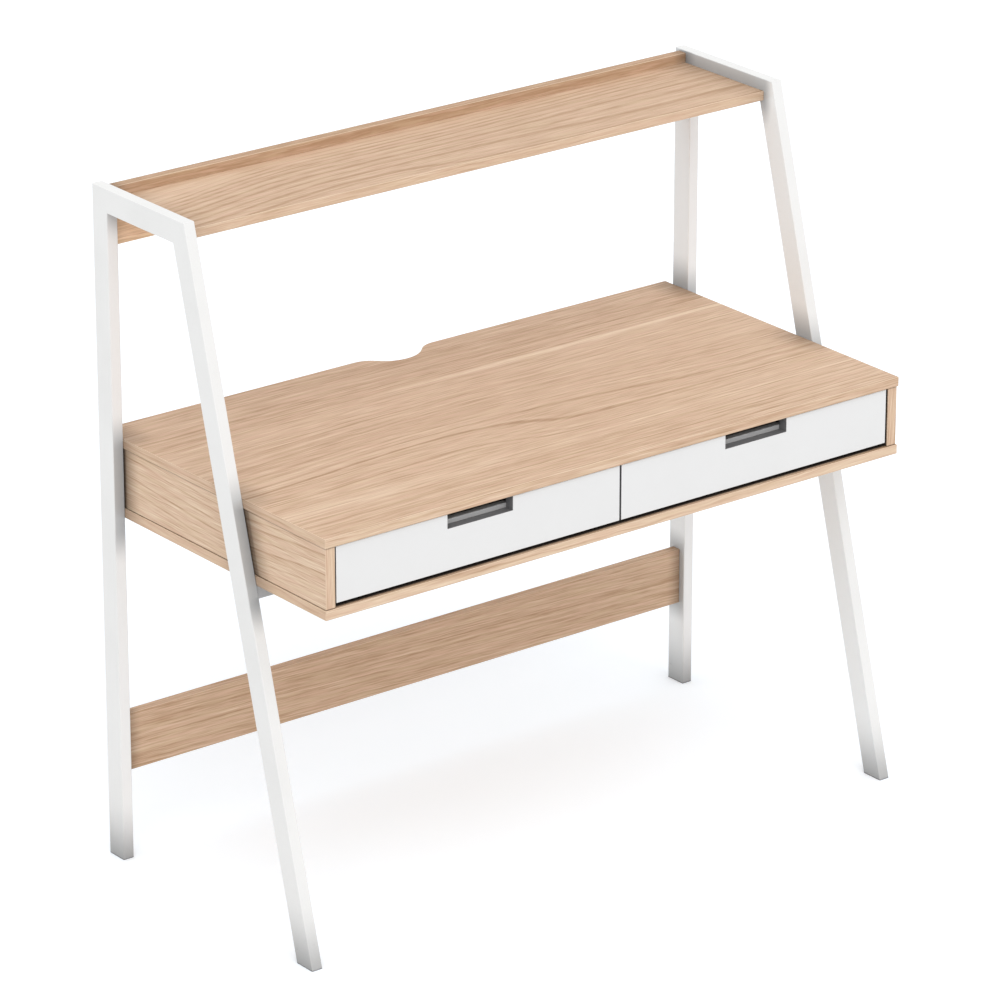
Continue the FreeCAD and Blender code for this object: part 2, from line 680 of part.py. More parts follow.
def notchedBoard(name, low, high):
    item = keep(newBody(name))
    corners = [
        ("-Place.frame_inner", "-Place.desk_back"),
        ("Place.frame_inner", "-Place.desk_back"),
        ("Place.frame_inner", "Place.desk_back"),
        ("Place.notch_half", "Place.desk_back"),
        ("Place.notch_turn_half", "Place.desk_back - Place.notch_turn_depth"),
        ("-Place.notch_turn_half", "Place.desk_back - Place.notch_turn_depth"),
        ("-Place.notch_half", "Place.desk_back"),
        ("-Place.frame_inner", "Place.desk_back"),
    ]
    arcs = {
        3: ("Place.notch_rim_radius", 1),
        4: ("Place.notch_floor_radius", -1),
        5: ("Place.notch_rim_radius", 1),
    }
    extend(item, "Pad", "slab", "XY_Plane", corners, low, high, arcs)
    level = along((0, 0, 1))
    notchEnd = number("Place.notch_half") + sameSpot

    def rim(edge):
        # every edge of the slab but the upright ones in the notch
        return not level(edge) or all(abs(vertex.Point.x) > notchEnd for vertex in edge.Vertexes)

    roundEdges(item, "Size.board_edge", rim)
    return item


deskTop = notchedBoard("desk_top", "Place.top_under", "Size.desk_top_height")
dowelHole = "Size.dowel_diameter + Size.fit_slack"
dowelTop = "Place.top_under + Size.dowel_top_depth"
dowelFoot = f"{dowelTop} - Size.dowel_length"
drill(
    deskTop,
    "dowel_holes",
    "XY_Plane",
    uprightSpots,
    dowelHole,
    "Place.top_under - Size.cut_overrun",
    f"{dowelTop} + Size.fit_slack",
)

boxBottom = notchedBoard("box_bottom", "Place.box_low", "Place.box_floor")
screwHole = "Size.panel_screw_diameter + Size.fit_slack"
drill(
    boxBottom,
    "screw_holes",
    "XY_Plane",
    uprightSpots,
    screwHole,
    "Place.box_low - Size.cut_overrun",
    "Place.box_floor + Size.cut_overrun",
)
drill(
    boxBottom,
    "screw_sinks",
    "XY_Plane",
    uprightSpots,
    "Size.panel_screw_head + Size.fit_slack",
    "Place.box_low - Size.cut_overrun",
    "Place.box_low + Size.screw_head_height",
)
drill(
    boxBottom,
    "bar_screw_holes",
    "XY_Plane",
    barScrewSpots,
    "Size.wood_screw_diameter + Size.fit_slack",
    "Place.box_low - Size.cut_overrun",
    "Place.box_low + Size.bar_screw_length",
)


# Uprights of the box

def drillUpright(item, spots):
    drill(
        item,
        "dowel_holes",
        "XY_Plane",
        spots,
        dowelHole,
        f"{dowelFoot} - Size.fit_slack",
        "Place.top_under + Size.cut_overrun",
    )
    drill(
        item,
        "screw_holes",
        "XY_Plane",
        spots,
        screwHole,
        "Place.box_floor - Size.cut_overrun",
        "Place.box_low + Size.panel_screw_length + Size.fit_slack",
    )


railScrewHole = "Size.rail_screw_diameter + Size.fit_slack"
railScrewDepth = "Size.rail_screw_length - Size.rail_sheet + Size.fit_slack"
slideScrewSpots = [(f"Place.slide_middle + {run}", "Place.slide_height") for run in railScrewRuns]
for side, sign in sides:
    low, high = span(sign, "Place.side_in", "Place.side_out")
    panel = board(
        f"{side}_side_panel",
        (low, "Place.side_front", "Place.box_floor"),
        (high, "Place.desk_back", "Place.top_under"),
    )
    drillUpright(panel, sideSpots[sign])
    low, high = span(
        sign, "Place.side_in - Size.cut_overrun", "Place.side_out + Size.cut_overrun"
    )
    drill(
        panel, "bolt_holes", "YZ_Plane", rearBoltSpots + frontBoltSpots, "Place.bolt_hole", low, high
    )
    low, high = span(
        sign, "Place.side_in - Size.cut_overrun", f"Place.side_in + {railScrewDepth}"
    )
    drill(panel, "rail_screw_holes", "YZ_Plane", slideScrewSpots, railScrewHole, low, high)

backPanel = board(
    "back_panel",
    ("-Place.side_in", "Place.back_front", "Place.box_floor"),
    ("Place.side_in", "Place.back_rear", "Place.top_under"),
    None,
)
drillUpright(backPanel, backSpots)
divider = board(
    "centre_divider",
    ("-Place.divider_half", "Place.divider_front", "Place.box_floor"),
    ("Place.divider_half", "Place.back_front", "Place.top_under"),
    None,
)
drillUpright(divider, dividerSpots)
for side, sign in sides:
    low, high = span(
        sign, f"Place.divider_half - ({railScrewDepth})", "Place.divider_half + Size.cut_overrun"
    )
    drill(
        divider, f"{side}_rail_screw_holes", "YZ_Plane", slideScrewSpots, railScrewHole, low, high
    )


# Shelf, the board behind it and the stretcher, held by cam pins in the frames

shelf = board(
    "shelf_board",
    ("-Place.frame_inner", "Place.shelf_front", "Place.shelf_low"),
    ("Place.frame_inner", "Place.lip_front", "Place.shelf_high"),
)
lip = board(
    "shelf_back_board",
    ("-Place.frame_inner", "Place.lip_front", "Place.lip_low"),
    ("Place.frame_inner", "Place.lip_back", "Place.lip_high"),
)
stretcher = board(
    "stretcher_board",
    ("-Place.frame_inner", "Place.stretcher_front", "Size.stretcher_lift"),
    ("Place.frame_inner", "Place.lip_back", "Place.stretcher_high"),
)
camAcross = "Place.frame_inner - Size.cam_setback"


def drillEnds(item, spots):
    for side, sign in sides:
        low, high = span(sign, camAcross, "Place.frame_inner + Size.cut_overrun")
        bore = "Size.cam_pin_diameter + Size.cam_pin_slack"
        drill(item, f"{side}_pin_bores", "YZ_Plane", spots, bore, low, high)


drillEnds(shelf, shelfPinSpots)
drill(
    shelf,
    "cam_pockets",
    "XY_Plane",
    [(signed(sign, camAcross), depth) for _, sign in sides for depth, _ in shelfPinSpots],
    "Size.cam_diameter",
    "Place.shelf_low - Size.cut_overrun",
    "Place.shelf_low + Size.cam_depth",
)
for item, spots in ((lip, lipPinSpots), (stretcher, stretcherPinSpots)):
    drillEnds(item, spots)
    drill(
        item,
        "cam_pockets",
        "XZ_Plane",
        [(signed(sign, camAcross), height) for _, sign in sides for _, height in spots],
        "Size.cam_diameter",
        "Place.lip_back - Size.cam_depth",
        "Place.lip_back + Size.cut_overrun",
    )


# Drawers: a white front screwed to a grooved box

cornerHeights = [
    "Place.drawer_low + Size.corner_screw_inset",
    "Place.drawer_high - Size.corner_screw_inset",
]
boxFrontMiddle = "Place.front_back + Size.drawer_wall / 2"
boxBackMiddle = "Place.drawer_rear - Size.drawer_wall / 2"
cornerSpots = [
    (depth, height) for depth in (boxFrontMiddle, boxBackMiddle) for height in cornerHeights
]
frontScrewHeights = [
    "Place.tray_high + Size.front_screw_inset",
    "Place.drawer_high - Size.front_screw_inset",
]
cornerHole = "Size.wood_screw_diameter + Size.fit_slack"
sinkHole = "Size.wood_screw_head + Size.fit_slack"
drawerInnerIn = "Place.drawer_in + Size.drawer_wall"
drawerInnerOut = "Place.drawer_out - Size.drawer_wall"
grooveLow = "Place.tray_low - Size.tray_slip"
grooveHigh = "Place.tray_high + Size.tray_slip"


def drawerFront(side, sign):
    item = keep(newBody(f"{side}_drawer_front"))
    pullIn = "Place.front_middle - Size.pull_width / 2"
    pullOut = "Place.front_middle + Size.pull_width / 2"
    right = [
        ("Place.front_in", "Place.front_low"),
        ("Place.front_out", "Place.front_low"),
        ("Place.front_out", "Place.front_high"),
        (pullOut, "Place.front_high"),
        (pullOut, "Place.pull_low"),
        (pullIn, "Place.pull_low"),
        (pullIn, "Place.front_high"),
        ("Place.front_in", "Place.front_high"),
    ]
    corners = [(signed(sign, across), up) for across, up in right]
    extend(item, "Pad", "slab", "XZ_Plane", corners, "Place.front_face", "Place.front_back")
    face = number("Place.front_face")
    roundEdges(
        item,
        "Size.front_edge",
        lambda edge: all(abs(vertex.Point.y - face) < sameSpot for vertex in edge.Vertexes),
    )
    drill(
        item,
        "screw_holes",
        "XZ_Plane",
        frontScrewSpots(sign),
        cornerHole,
        "Place.front_back + Size.drawer_wall - Size.front_screw_length - Size.fit_slack",
        "Place.front_back + Size.cut_overrun",
    )


def frontScrewSpots(sign):
    return [
        (signed(sign, f"Place.front_middle {way} Size.front_screw_spread"), height)
        for way in "-+"
        for height in frontScrewHeights
    ]


def drawerSide(side, sign, place):
    item = keep(newBody(f"{side}_drawer_{place}_side"))
    near, far = {
        "wall": (drawerInnerOut, "Place.drawer_out"),
        "divider": ("Place.drawer_in", drawerInnerIn),
    }[place]
    low, high = span(sign, near, far)
    corners = rectangle((low, "Place.front_back"), (high, "Place.drawer_rear"))
    extend(item, "Pad", "slab", "XY_Plane", corners, "Place.drawer_low", "Place.drawer_high")
    roundEdges(
        item,
        "Size.board_edge",
        atHeight("Place.drawer_high"),
    )
    groove = {
        "wall": (drawerInnerOut, f"{drawerInnerOut} + Size.tray_groove"),
        "divider": (f"{drawerInnerIn} - Size.tray_groove", drawerInnerIn),
    }[place]
    low, high = span(sign, *groove)
    frontEnd = "Place.front_back + Size.drawer_wall - Size.tray_groove"
    backEnd = "Place.drawer_rear - Size.drawer_wall + Size.tray_groove"
    corners = rectangle((low, frontEnd), (high, backEnd))
    extend(item, "Pocket", "groove", "XY_Plane", corners, grooveLow, grooveHigh)
    low, high = span(sign, near, far)
    low, high = f"{low} - Size.cut_overrun", f"{high} + Size.cut_overrun"
    drill(item, "corner_holes", "YZ_Plane", cornerSpots, cornerHole, low, high)
    sink = {
        "wall": ("Place.drawer_out - Size.screw_head_height", "Place.drawer_out + Size.cut_overrun"),
        "divider": ("Place.drawer_in - Size.cut_overrun", "Place.drawer_in + Size.screw_head_height"),
    }[place]
    low, high = span(sign, *sink)
    drill(item, "corner_sinks", "YZ_Plane", cornerSpots, sinkHole, low, high)
    screwEnd = {
        "wall": (f"Place.drawer_out - ({railScrewDepth})", "Place.drawer_out + Size.cut_overrun"),
        "divider": ("Place.drawer_in - Size.cut_overrun", f"Place.drawer_in + {railScrewDepth}"),
    }[place]
    low, high = span(sign, *screwEnd)
    drill(item, "rail_screw_holes", "YZ_Plane", slideScrewSpots, railScrewHole, low, high)


def drawerEnd(side, sign, place):
    item = keep(newBody(f"{side}_drawer_box_{place}"))
    front, back = {
        "front": ("Place.front_back", "Place.front_back + Size.drawer_wall"),
        "back": ("Place.drawer_rear - Size.drawer_wall", "Place.drawer_rear"),
    }[place]
    low, high = span(sign, drawerInnerIn, drawerInnerOut)
    corners = rectangle((low, front), (high, back))
    extend(item, "Pad", "slab", "XY_Plane", corners, "Place.drawer_low", "Place.drawer_high")
    roundEdges(
        item,
        "Size.board_edge",
        atHeight("Place.drawer_high"),
    )
    groove = {
        "front": (f"{back} - Size.tray_groove", back),
        "back": (front, f"{front} + Size.tray_groove"),
    }[place]
    corners = rectangle((low, groove[0]), (high, groove[1]))
    extend(item, "Pocket", "groove", "XY_Plane", corners, grooveLow, grooveHigh)
    middleDepth = {"front": boxFrontMiddle, "back": boxBackMiddle}[place]
    spots = [(middleDepth, height) for height in cornerHeights]
    reach = "Size.corner_screw_length - Size.drawer_wall + Size.fit_slack"
    ends = {
        "divider": (f"{drawerInnerIn} - Size.cut_overrun", f"{drawerInnerIn} + {reach}"),
        "wall": (f"{drawerInnerOut} - ({reach})", f"{drawerInnerOut} + Size.cut_overrun"),
    }
    for name, (near, far) in ends.items():
        near, far = span(sign, near, far)
        drill(item, f"{name}_screw_holes", "YZ_Plane", spots, cornerHole, near, far)
    if place == "front":
        spots = frontScrewSpots(sign)
        drill(
            item,
            "front_screw_holes",
            "XZ_Plane",
            spots,
            cornerHole,
            f"{front} - Size.cut_overrun",
            f"{back} + Size.cut_overrun",
        )
        drill(
            item,
            "front_screw_sinks",
            "XZ_Plane",
            spots,
            sinkHole,
            f"{back} - Size.screw_head_height",
            f"{back} + Size.cut_overrun",
        )


def drawerBottom(side, sign):
    held = "(Size.tray_groove - Size.tray_slip)"
    low, high = span(sign, f"{drawerInnerIn} - {held}", f"{drawerInnerOut} + {held}")
    board(
        f"{side}_drawer_bottom",
        (low, f"Place.front_back + Size.drawer_wall - {held}", "Place.tray_low"),
        (high, f"Place.drawer_rear - Size.drawer_wall + {held}", "Place.tray_high"),
        None,
    )


for side, sign in sides:
    drawerFront(side, sign)
    for place in ("wall", "divider"):
        drawerSide(side, sign, place)
    for place in ("front", "back"):
        drawerEnd(side, sign, place)
    drawerBottom(side, sign)


# Ball slides. Each is drawn from the panel outwards along its own X axis, with
# its middle at the origin, and turned round where it is on a panel's left face.

def channel(start, reach, half, lip=None):
    # half of a C, from its web to the end of its flange, and its mirror image below
    inner = f"{half} - Size.rail_sheet"
    upper = [
        (f"{start} + Size.rail_sheet", inner),
        (f"{start} + {reach}", inner),
        (f"{start} + {reach}", half),
        (start, half),
    ]
    if lip:
        upper[1:2] = [
            (f"{start} + {reach} - Size.rail_sheet", inner),
            (f"{start} + {reach} - Size.rail_sheet", f"{inner} - {lip}"),
            (f"{start} + {reach}", f"{inner} - {lip}"),
        ]
    return upper + [(across, f"-({up})") for across, up in reversed(upper)]


def mirroredChannel(end, reach, half):
    return [(f"{end} - ({across})", up) for across, up in channel("0", reach, half)]


halfSlide = "Place.slide_length / 2"
railOutlines = {
    "cabinet": channel("0", "Size.cabinet_rail_reach", "Size.slide_height / 2", "Size.rail_lip"),
    "middle": channel("Size.middle_rail_start", "Size.middle_rail_reach", "Place.middle_rail_half"),
    "drawer": mirroredChannel(
        "Size.slide_thickness", "Size.drawer_rail_reach", "Place.drawer_rail_half"
    ),
}
webFaces = {
    "cabinet": "Size.rail_sheet",
    "drawer": "Size.slide_thickness - Size.rail_sheet",
}
webRuns = {
    "cabinet": ("-Size.cut_overrun", "Size.rail_sheet + Size.cage_gap"),
    "drawer": (
        "Size.slide_thickness - Size.rail_sheet - Size.cage_gap",
        "Size.slide_thickness + Size.cut_overrun",
    ),
}


def sinkHoles(item, level):
    # countersinks the screw holes in a rail's web from the side where the balls run
    web = number(level)
    feature = item.Tip
    edges = []
    for index, edge in enumerate(feature.Shape.Edges, 1):
        isCircle = isinstance(edge.Curve, Part.Circle)
        if isCircle and abs(edge.Curve.Center.x - web) < sameSpot:
            edges.append(f"Edge{index}")
    sink = item.newObject("PartDesign::Chamfer", f"{item.Label}_countersinks")
    sink.Base = (feature, edges)
    sink.setExpression("Size", "Size.rail_screw_sink")
    doc.recompute()


turnedRound = FreeCAD.Rotation(FreeCAD.Vector(0, 0, 1), 180)
slideSpots = {}
for side, sign in sides:
    for place, across in (("wall", "Place.side_in"), ("divider", "Place.divider_half")):
        faces = -sign if place == "wall" else sign
        spot = (signed(sign, across), "Place.slide_middle", "Place.slide_height")
        slideSpots[side, place] = (spot, upright if faces > 0 else turnedRound, faces)


def ballCage(name, start, balls):
    item = newBody(name)
    half = "Place.cage_length / 2"
    sheet = "Size.cage_sheet / 2"
    upper = [
        (f"{start} + Size.cage_sheet", f"{balls} - {sheet}"),
        (f"{start} + Size.cage_reach", f"{balls} - {sheet}"),
        (f"{start} + Size.cage_reach", f"{balls} + {sheet}"),
        (start, f"{balls} + {sheet}"),
    ]
    corners = upper + [(across, f"-({up})") for across, up in reversed(upper)]
    extend(item, "Pad", "strip", "XZ_Plane", corners, f"-{half}", half)
    firstBalls = []
    for row, height in (("upper", balls), ("lower", f"-{balls}")):
        ball = item.newObject("PartDesign::AdditiveSphere", f"{name}_{row}_ball")
        ball.setExpression("Radius", "Size.ball_diameter / 2")
        ball.setExpression("Placement.Base.x", f"{start} + Size.cage_reach / 2")
        ball.setExpression("Placement.Base.y", "-Place.ball_run / 2")
        ball.setExpression("Placement.Base.z", height)
        firstBalls.append(ball)
    doc.recompute()
    row = item.newObject("PartDesign::LinearPattern", f"{name}_rows")
    row.Originals = firstBalls
    axis = [each for each in item.Origin.OriginFeatures if each.Role == "Y_Axis"][0]
    row.Direction = (axis, [""])
    row.Occurrences = ballsPerRow
    row.setExpression("Length", "Place.ball_run")
    item.Tip = row
    return item


outerCage = ballCage("outer_cage", "Place.outer_cage_start", "Place.outer_balls")
innerCage = ballCage("inner_cage", "Place.inner_cage_start", "Place.inner_balls")
for side, sign in sides:
    for place in ("wall", "divider"):
        spot, rotation, _ = slideSpots[side, place]
        for rail, corners in railOutlines.items():
            item = keep(newBody(f"{side}_{place}_{rail}_rail"))
            extend(item, "Pad", "channel", "XZ_Plane", corners, f"-{halfSlide}", halfSlide)
            if rail in webFaces:
                centres = [(run, "0") for run in railScrewRuns]
                drill(item, "screw_holes", "YZ_Plane", centres, railScrewHole, *webRuns[rail])
                sinkHoles(item, webFaces[rail])
            seat(item, spot, rotation)
    for name, cage in (("outer", outerCage), ("inner", innerCage)):
        spots = [(cage, *slideSpots[side, place][:2]) for place in ("wall", "divider")]
        copies(f"{side}_{name}_ball_cages", spots)


# Fixings

def plainScrew(name, diameter, head, length):
    # a countersunk screw whose head is flush with the origin and whose tip points along +Z
    shank = f"({diameter}) / 2"
    return turned(
        name,
        [
            ("0", "0"),
            (f"({head}) / 2", "0"),
            (shank, "Size.screw_head_height"),
            (shank, f"{length} - {shank}"),
            ("0", length),
        ],
    )


def bolt(name, length):
    # the head's underside is at the origin
    return turned(
        name,
        [
            ("0", "-Size.bolt_head_height"),
            ("Size.bolt_head_diameter / 2 - Size.bolt_head_chamfer", "-Size.bolt_head_height"),
            ("Size.bolt_head_diameter / 2", "Size.bolt_head_chamfer - Size.bolt_head_height"),
            ("Size.bolt_head_diameter / 2", "0"),
            ("Size.bolt_diameter / 2", "0"),
            ("Size.bolt_diameter / 2", length),
            ("0", length),
        ],
    )


def ring(name, outer, bore, height):
    return turned(
        name,
        [
            (f"({bore}) / 2", "0"),
            (f"({outer}) / 2", "0"),
            (f"({outer}) / 2", height),
            (f"({bore}) / 2", height),
        ],
    )


hexagon = doc.addObject("Part::Prism", "nut_hexagon")
hexagon.Polygon = 6
hexagon.setExpression("Circumradius", "Size.nut_across_corners / 2")
hexagon.setExpression("Height", "Size.nut_height")
nutBore = doc.addObject("Part::Cylinder", "nut_bore")
nutBore.setExpression("Radius", "(Size.bolt_diameter + Size.thread_slack) / 2")
nutBore.setExpression("Height", "Size.nut_height + 2 * Size.cut_overrun")
nutBore.setExpression("Placement.Base.z", "-Size.cut_overrun")
nut = doc.addObject("Part::Cut", "nut")
nut.Base = hexagon
nut.Tool = nutBore

camHeight = "Size.cam_depth - Size.cam_slack"
camCore = doc.addObject("Part::Cylinder", "cam_core")
camCore.setExpression("Radius", "(Size.cam_diameter - Size.cam_slack) / 2")
camCore.setExpression("Height", camHeight)
camMouth = doc.addObject("Part::Cylinder", "cam_mouth")
camMouth.setExpression("Radius", "(Size.cam_pin_diameter + Size.cam_slack) / 2")
camMouth.setExpression("Height", "Size.cam_diameter")
camMouth.Placement.Rotation = facing((1, 0, 0))
camMouth.setExpression("Placement.Base.x", "-Size.cam_pin_head - Size.cam_slack")
camMouth.setExpression("Placement.Base.z", "Size.cam_pin_height")
cam = doc.addObject("Part::Cut", "cam")
cam.Base = camCore
cam.Tool = camMouth

pinRadius = "Size.cam_pin_diameter / 2"
neckRadius = "(Size.cam_pin_diameter - Size.cam_pin_neck) / 2"
headEnd = "-Size.cam_setback - Size.cam_pin_head"
camPin = turned(
    "cam_pin",
    [
        ("0", headEnd),
        (pinRadius, headEnd),
        (pinRadius, f"{headEnd} + Size.cam_pin_head"),
        (neckRadius, f"{headEnd} + Size.cam_pin_head"),
        (neckRadius, f"{headEnd} + 2 * Size.cam_pin_head"),
        (pinRadius, f"{headEnd} + 2 * Size.cam_pin_head"),
        (pinRadius, "0"),
        ("Size.bolt_diameter / 2", "0"),
        ("Size.bolt_diameter / 2", "Place.grip_length"),
        ("0", "Place.grip_length"),
    ],
)
boxBolt = bolt("box_bolt", "Place.box_bolt_length")
barBolt = bolt("bar_bolt", "Place.bar_bolt_length")
spacer = ring("spacer", "Size.spacer_diameter", "Place.bolt_hole", "Size.side_reveal")
dowel = turned(
    "dowel",
    [
        ("0", "0"),
        ("Size.dowel_diameter / 2 - Size.dowel_chamfer", "0"),
        ("Size.dowel_diameter / 2", "Size.dowel_chamfer"),
        ("Size.dowel_diameter / 2", "Size.dowel_length - Size.dowel_chamfer"),
        ("Size.dowel_diameter / 2 - Size.dowel_chamfer", "Size.dowel_length"),
        ("0", "Size.dowel_length"),
    ],
)
panelScrew = plainScrew(
    "panel_screw", "Size.panel_screw_diameter", "Size.panel_screw_head", "Size.panel_screw_length"
)
cornerScrew = plainScrew(
    "corner_screw", "Size.wood_screw_diameter", "Size.wood_screw_head", "Size.corner_screw_length"
)
frontScrew = plainScrew(
    "front_screw", "Size.wood_screw_diameter", "Size.wood_screw_head", "Size.front_screw_length"
)
barScrewTip = "Size.bar_screw_length - Size.fit_slack"
barScrew = turned(
    "bar_screw",
    [
        ("0", "-Size.screw_head_height - Size.bar_wall"),
        ("Size.wood_screw_head / 2", "-Size.screw_head_height - Size.bar_wall"),
        ("Size.wood_screw_head / 2", "-Size.bar_wall"),
        ("Size.wood_screw_diameter / 2", "-Size.bar_wall"),
        ("Size.wood_screw_diameter / 2", f"{barScrewTip} - Size.wood_screw_diameter / 2"),
        ("0", barScrewTip),
    ],
)
# the rail screw's origin is on the wood, behind the web
railScrewRadius = "Size.rail_screw_diameter / 2"
railScrewTip = "Size.rail_screw_length - Size.rail_sheet"
railScrew = turned(
    "rail_screw",
    [
        ("0", "-Size.rail_sheet"),
        (f"{railScrewRadius} + Size.rail_screw_sink", "-Size.rail_sheet"),
        (railScrewRadius, "Size.rail_screw_sink - Size.rail_sheet"),
        (railScrewRadius, f"{railScrewTip} - {railScrewRadius}"),
        ("0", railScrewTip),
    ],
)

upwards = facing((0, 0, 1))
outwards = {sign: facing((sign, 0, 0)) for _, sign in sides}
nutSpots = []
boltSpots = []
pinSpots = []
camSpots = []
framePins = [
    (shelfPinSpots, "below"),
    (lipPinSpots, "behind"),
    (stretcherPinSpots, "behind"),
]
xAxis, yAxis, zAxis = (FreeCAD.Vector(*each) for each in ((1, 0, 0), (0, 1, 0), (0, 0, 1)))
for _, sign in sides:
    out = outwards[sign]
    wallInside = signed(sign, "Place.frame_inner + Size.tube_wall")
    for depth, height in rearBoltSpots + frontBoltSpots:
        boltSpots.append((boxBolt, (signed(sign, "Place.side_in"), depth, height), out))
        boltSpots.append((spacer, (signed(sign, "Place.side_out"), depth, height), out))
        nutSpots.append((nut, (wallInside, depth, height), out))
    for spots, place in framePins:
        for depth, height in spots:
            pinSpots.append((camPin, (signed(sign, "Place.frame_inner"), depth, height), out))
            nutSpots.append((nut, (wallInside, depth, height), out))
            mouth = xAxis * sign
            if place == "below":
                foot = (signed(sign, camAcross), depth, "Place.shelf_low")
                turn = FreeCAD.Rotation(mouth, zAxis.cross(mouth), zAxis, "ZXY")
            else:
                foot = (signed(sign, camAcross), "Place.lip_back", height)
                turn = FreeCAD.Rotation(mouth, (-yAxis).cross(mouth), -yAxis, "ZXY")
            camSpots.append((cam, foot, turn))
    stubInside = "Place.bar_height - Place.stub_size / 2 + Size.bar_wall"
    nutSpots.append((nut, (signed(sign, stubBoltAcross), "Place.bar_middle", stubInside), upwards))
copies("frame_nuts", nutSpots)
copies("box_bolts", boltSpots)
copies("cam_pins", pinSpots)
copies("cam_locks", camSpots)
copies("carcass_dowels", [(dowel, (*spot, dowelFoot), upwards) for spot in uprightSpots])
copies("carcass_screws", [(panelScrew, (*spot, "Place.box_low"), upwards) for spot in uprightSpots])
barFixings = [(barBolt, (*spot, "Place.bar_low"), upwards) for spot in barBoltSpots]
barFixings += [(barScrew, (*spot, "Place.box_low"), upwards) for spot in barScrewSpots]
copies("bar_fixings", barFixings)

cabinetScrews = []
for side, sign in sides:
    drawerScrews = []
    for place in ("wall", "divider"):
        spot, rotation, faces = slideSpots[side, place]
        for run in railScrewRuns:
            depth = f"Place.slide_middle + {run}"
            cabinetScrews.append((railScrew, (spot[0], depth, spot[2]), outwards[-faces]))
            across = signed(sign, "Place.drawer_out" if place == "wall" else "Place.drawer_in")
            drawerScrews.append((railScrew, (across, depth, spot[2]), outwards[faces]))
        for depth, height in cornerSpots:
            drawerScrews.append((cornerScrew, (across, depth, height), outwards[faces]))
    for across, height in frontScrewSpots(sign):
        screwSeat = (across, "Place.front_back + Size.drawer_wall", height)
        drawerScrews.append((frontScrew, screwSeat, facing((0, -1, 0))))
    copies(f"{side}_drawer_screws", drawerScrews)
copies("cabinet_rail_screws", cabinetScrews)


doc.recompute()
for item in doc.Objects:
    if "Invalid" in item.State or "Error" in item.State:
        raise RuntimeError(f"{item.Label} failed: {item.State}")
os.makedirs("parts", exist_ok=True)
for name, item in nodes.items():
    shape = item.Shape
    if shape.isNull() or not shape.isValid():
        raise RuntimeError(f"{name} has no valid shape")
    shape.exportStep(f"parts/{name}.step")
print(f"{len(nodes)} nodes, {sum(len(item.Shape.Solids) for item in nodes.values())} solids")
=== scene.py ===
import bpy
import bmesh
import json
import math
from mathutils import Matrix, Vector

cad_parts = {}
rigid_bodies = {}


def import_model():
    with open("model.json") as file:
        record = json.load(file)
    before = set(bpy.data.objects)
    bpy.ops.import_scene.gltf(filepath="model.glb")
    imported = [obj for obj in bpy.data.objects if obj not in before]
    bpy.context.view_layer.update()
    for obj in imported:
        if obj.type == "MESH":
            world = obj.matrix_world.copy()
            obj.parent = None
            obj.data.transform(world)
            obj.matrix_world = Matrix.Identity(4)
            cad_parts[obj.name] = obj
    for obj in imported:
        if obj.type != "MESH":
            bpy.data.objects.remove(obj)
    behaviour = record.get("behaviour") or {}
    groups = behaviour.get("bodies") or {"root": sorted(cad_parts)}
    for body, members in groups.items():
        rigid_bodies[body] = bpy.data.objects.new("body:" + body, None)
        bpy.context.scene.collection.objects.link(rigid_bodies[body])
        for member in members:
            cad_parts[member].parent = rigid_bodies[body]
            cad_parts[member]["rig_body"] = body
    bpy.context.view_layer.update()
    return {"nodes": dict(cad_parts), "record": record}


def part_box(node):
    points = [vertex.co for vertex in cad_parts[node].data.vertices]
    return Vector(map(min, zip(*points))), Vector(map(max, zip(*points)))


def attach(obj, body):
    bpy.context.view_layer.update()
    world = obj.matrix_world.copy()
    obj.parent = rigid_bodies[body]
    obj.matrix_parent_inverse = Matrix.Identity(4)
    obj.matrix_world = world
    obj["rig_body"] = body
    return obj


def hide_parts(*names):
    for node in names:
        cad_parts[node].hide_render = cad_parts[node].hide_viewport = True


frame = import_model()
nodes = frame["nodes"]
print("computer desk: frame loaded,", len(nodes), "CAD nodes")


# shader helpers

def tint(red, green, blue):
    # 0 to 255, as a colour picker shows it
    channels = [value / 255 for value in (red, green, blue)]
    return [c / 12.92 if c <= 0.04045 else ((c + 0.055) / 1.055) ** 2.4 for c in channels] + [1.0]


def addNode(tree, kind, inputs=None, **settings):
    node = tree.nodes.new(kind)
    for name, value in settings.items():
        setattr(node, name, value)
    for socket, value in (inputs or {}).items():
        if isinstance(value, bpy.types.NodeSocket):
            tree.links.new(value, node.inputs[socket])
        else:
            node.inputs[socket].default_value = value
    return node


def sums(tree, operation, *values, clamp=False):
    inputs = dict(enumerate(values))
    return addNode(tree, "ShaderNodeMath", inputs, operation=operation, use_clamp=clamp).outputs[0]


def pick(tree, factor, first, second):
    # first where factor is 0, second where it is 1
    return addNode(tree, "ShaderNodeMix", {0: factor, 2: first, 3: second}).outputs[0]


def mixColour(tree, factor, first, second):
    inputs = {0: factor, 6: first, 7: second}
    return addNode(tree, "ShaderNodeMix", inputs, data_type="RGBA").outputs[2]


def ramp(tree, factor, stops):
    # a colour ramp; each stop is its place, 0 to 1, and its colour
    node = addNode(tree, "ShaderNodeValToRGB", {0: factor})
    marks = node.color_ramp.elements
    while len(marks) < len(stops):
        marks.new(0.5)
    for mark, (place, colour) in zip(marks, stops):
        mark.position = place
        mark.color = colour
    return node.outputs[0]


def fade(tree, value, low, high, to=(0.0, 1.0)):
    # goes softly from to[0] at low to to[1] at high
    inputs = {0: value, 1: low, 2: high, 3: to[0], 4: to[1]}
    return addNode(tree, "ShaderNodeMapRange", inputs, interpolation_type="SMOOTHSTEP").outputs[0]


def flatVector(tree, x, y, z=0.0):
    return addNode(tree, "ShaderNodeCombineXYZ", {0: x, 1: y, 2: z}).outputs[0]


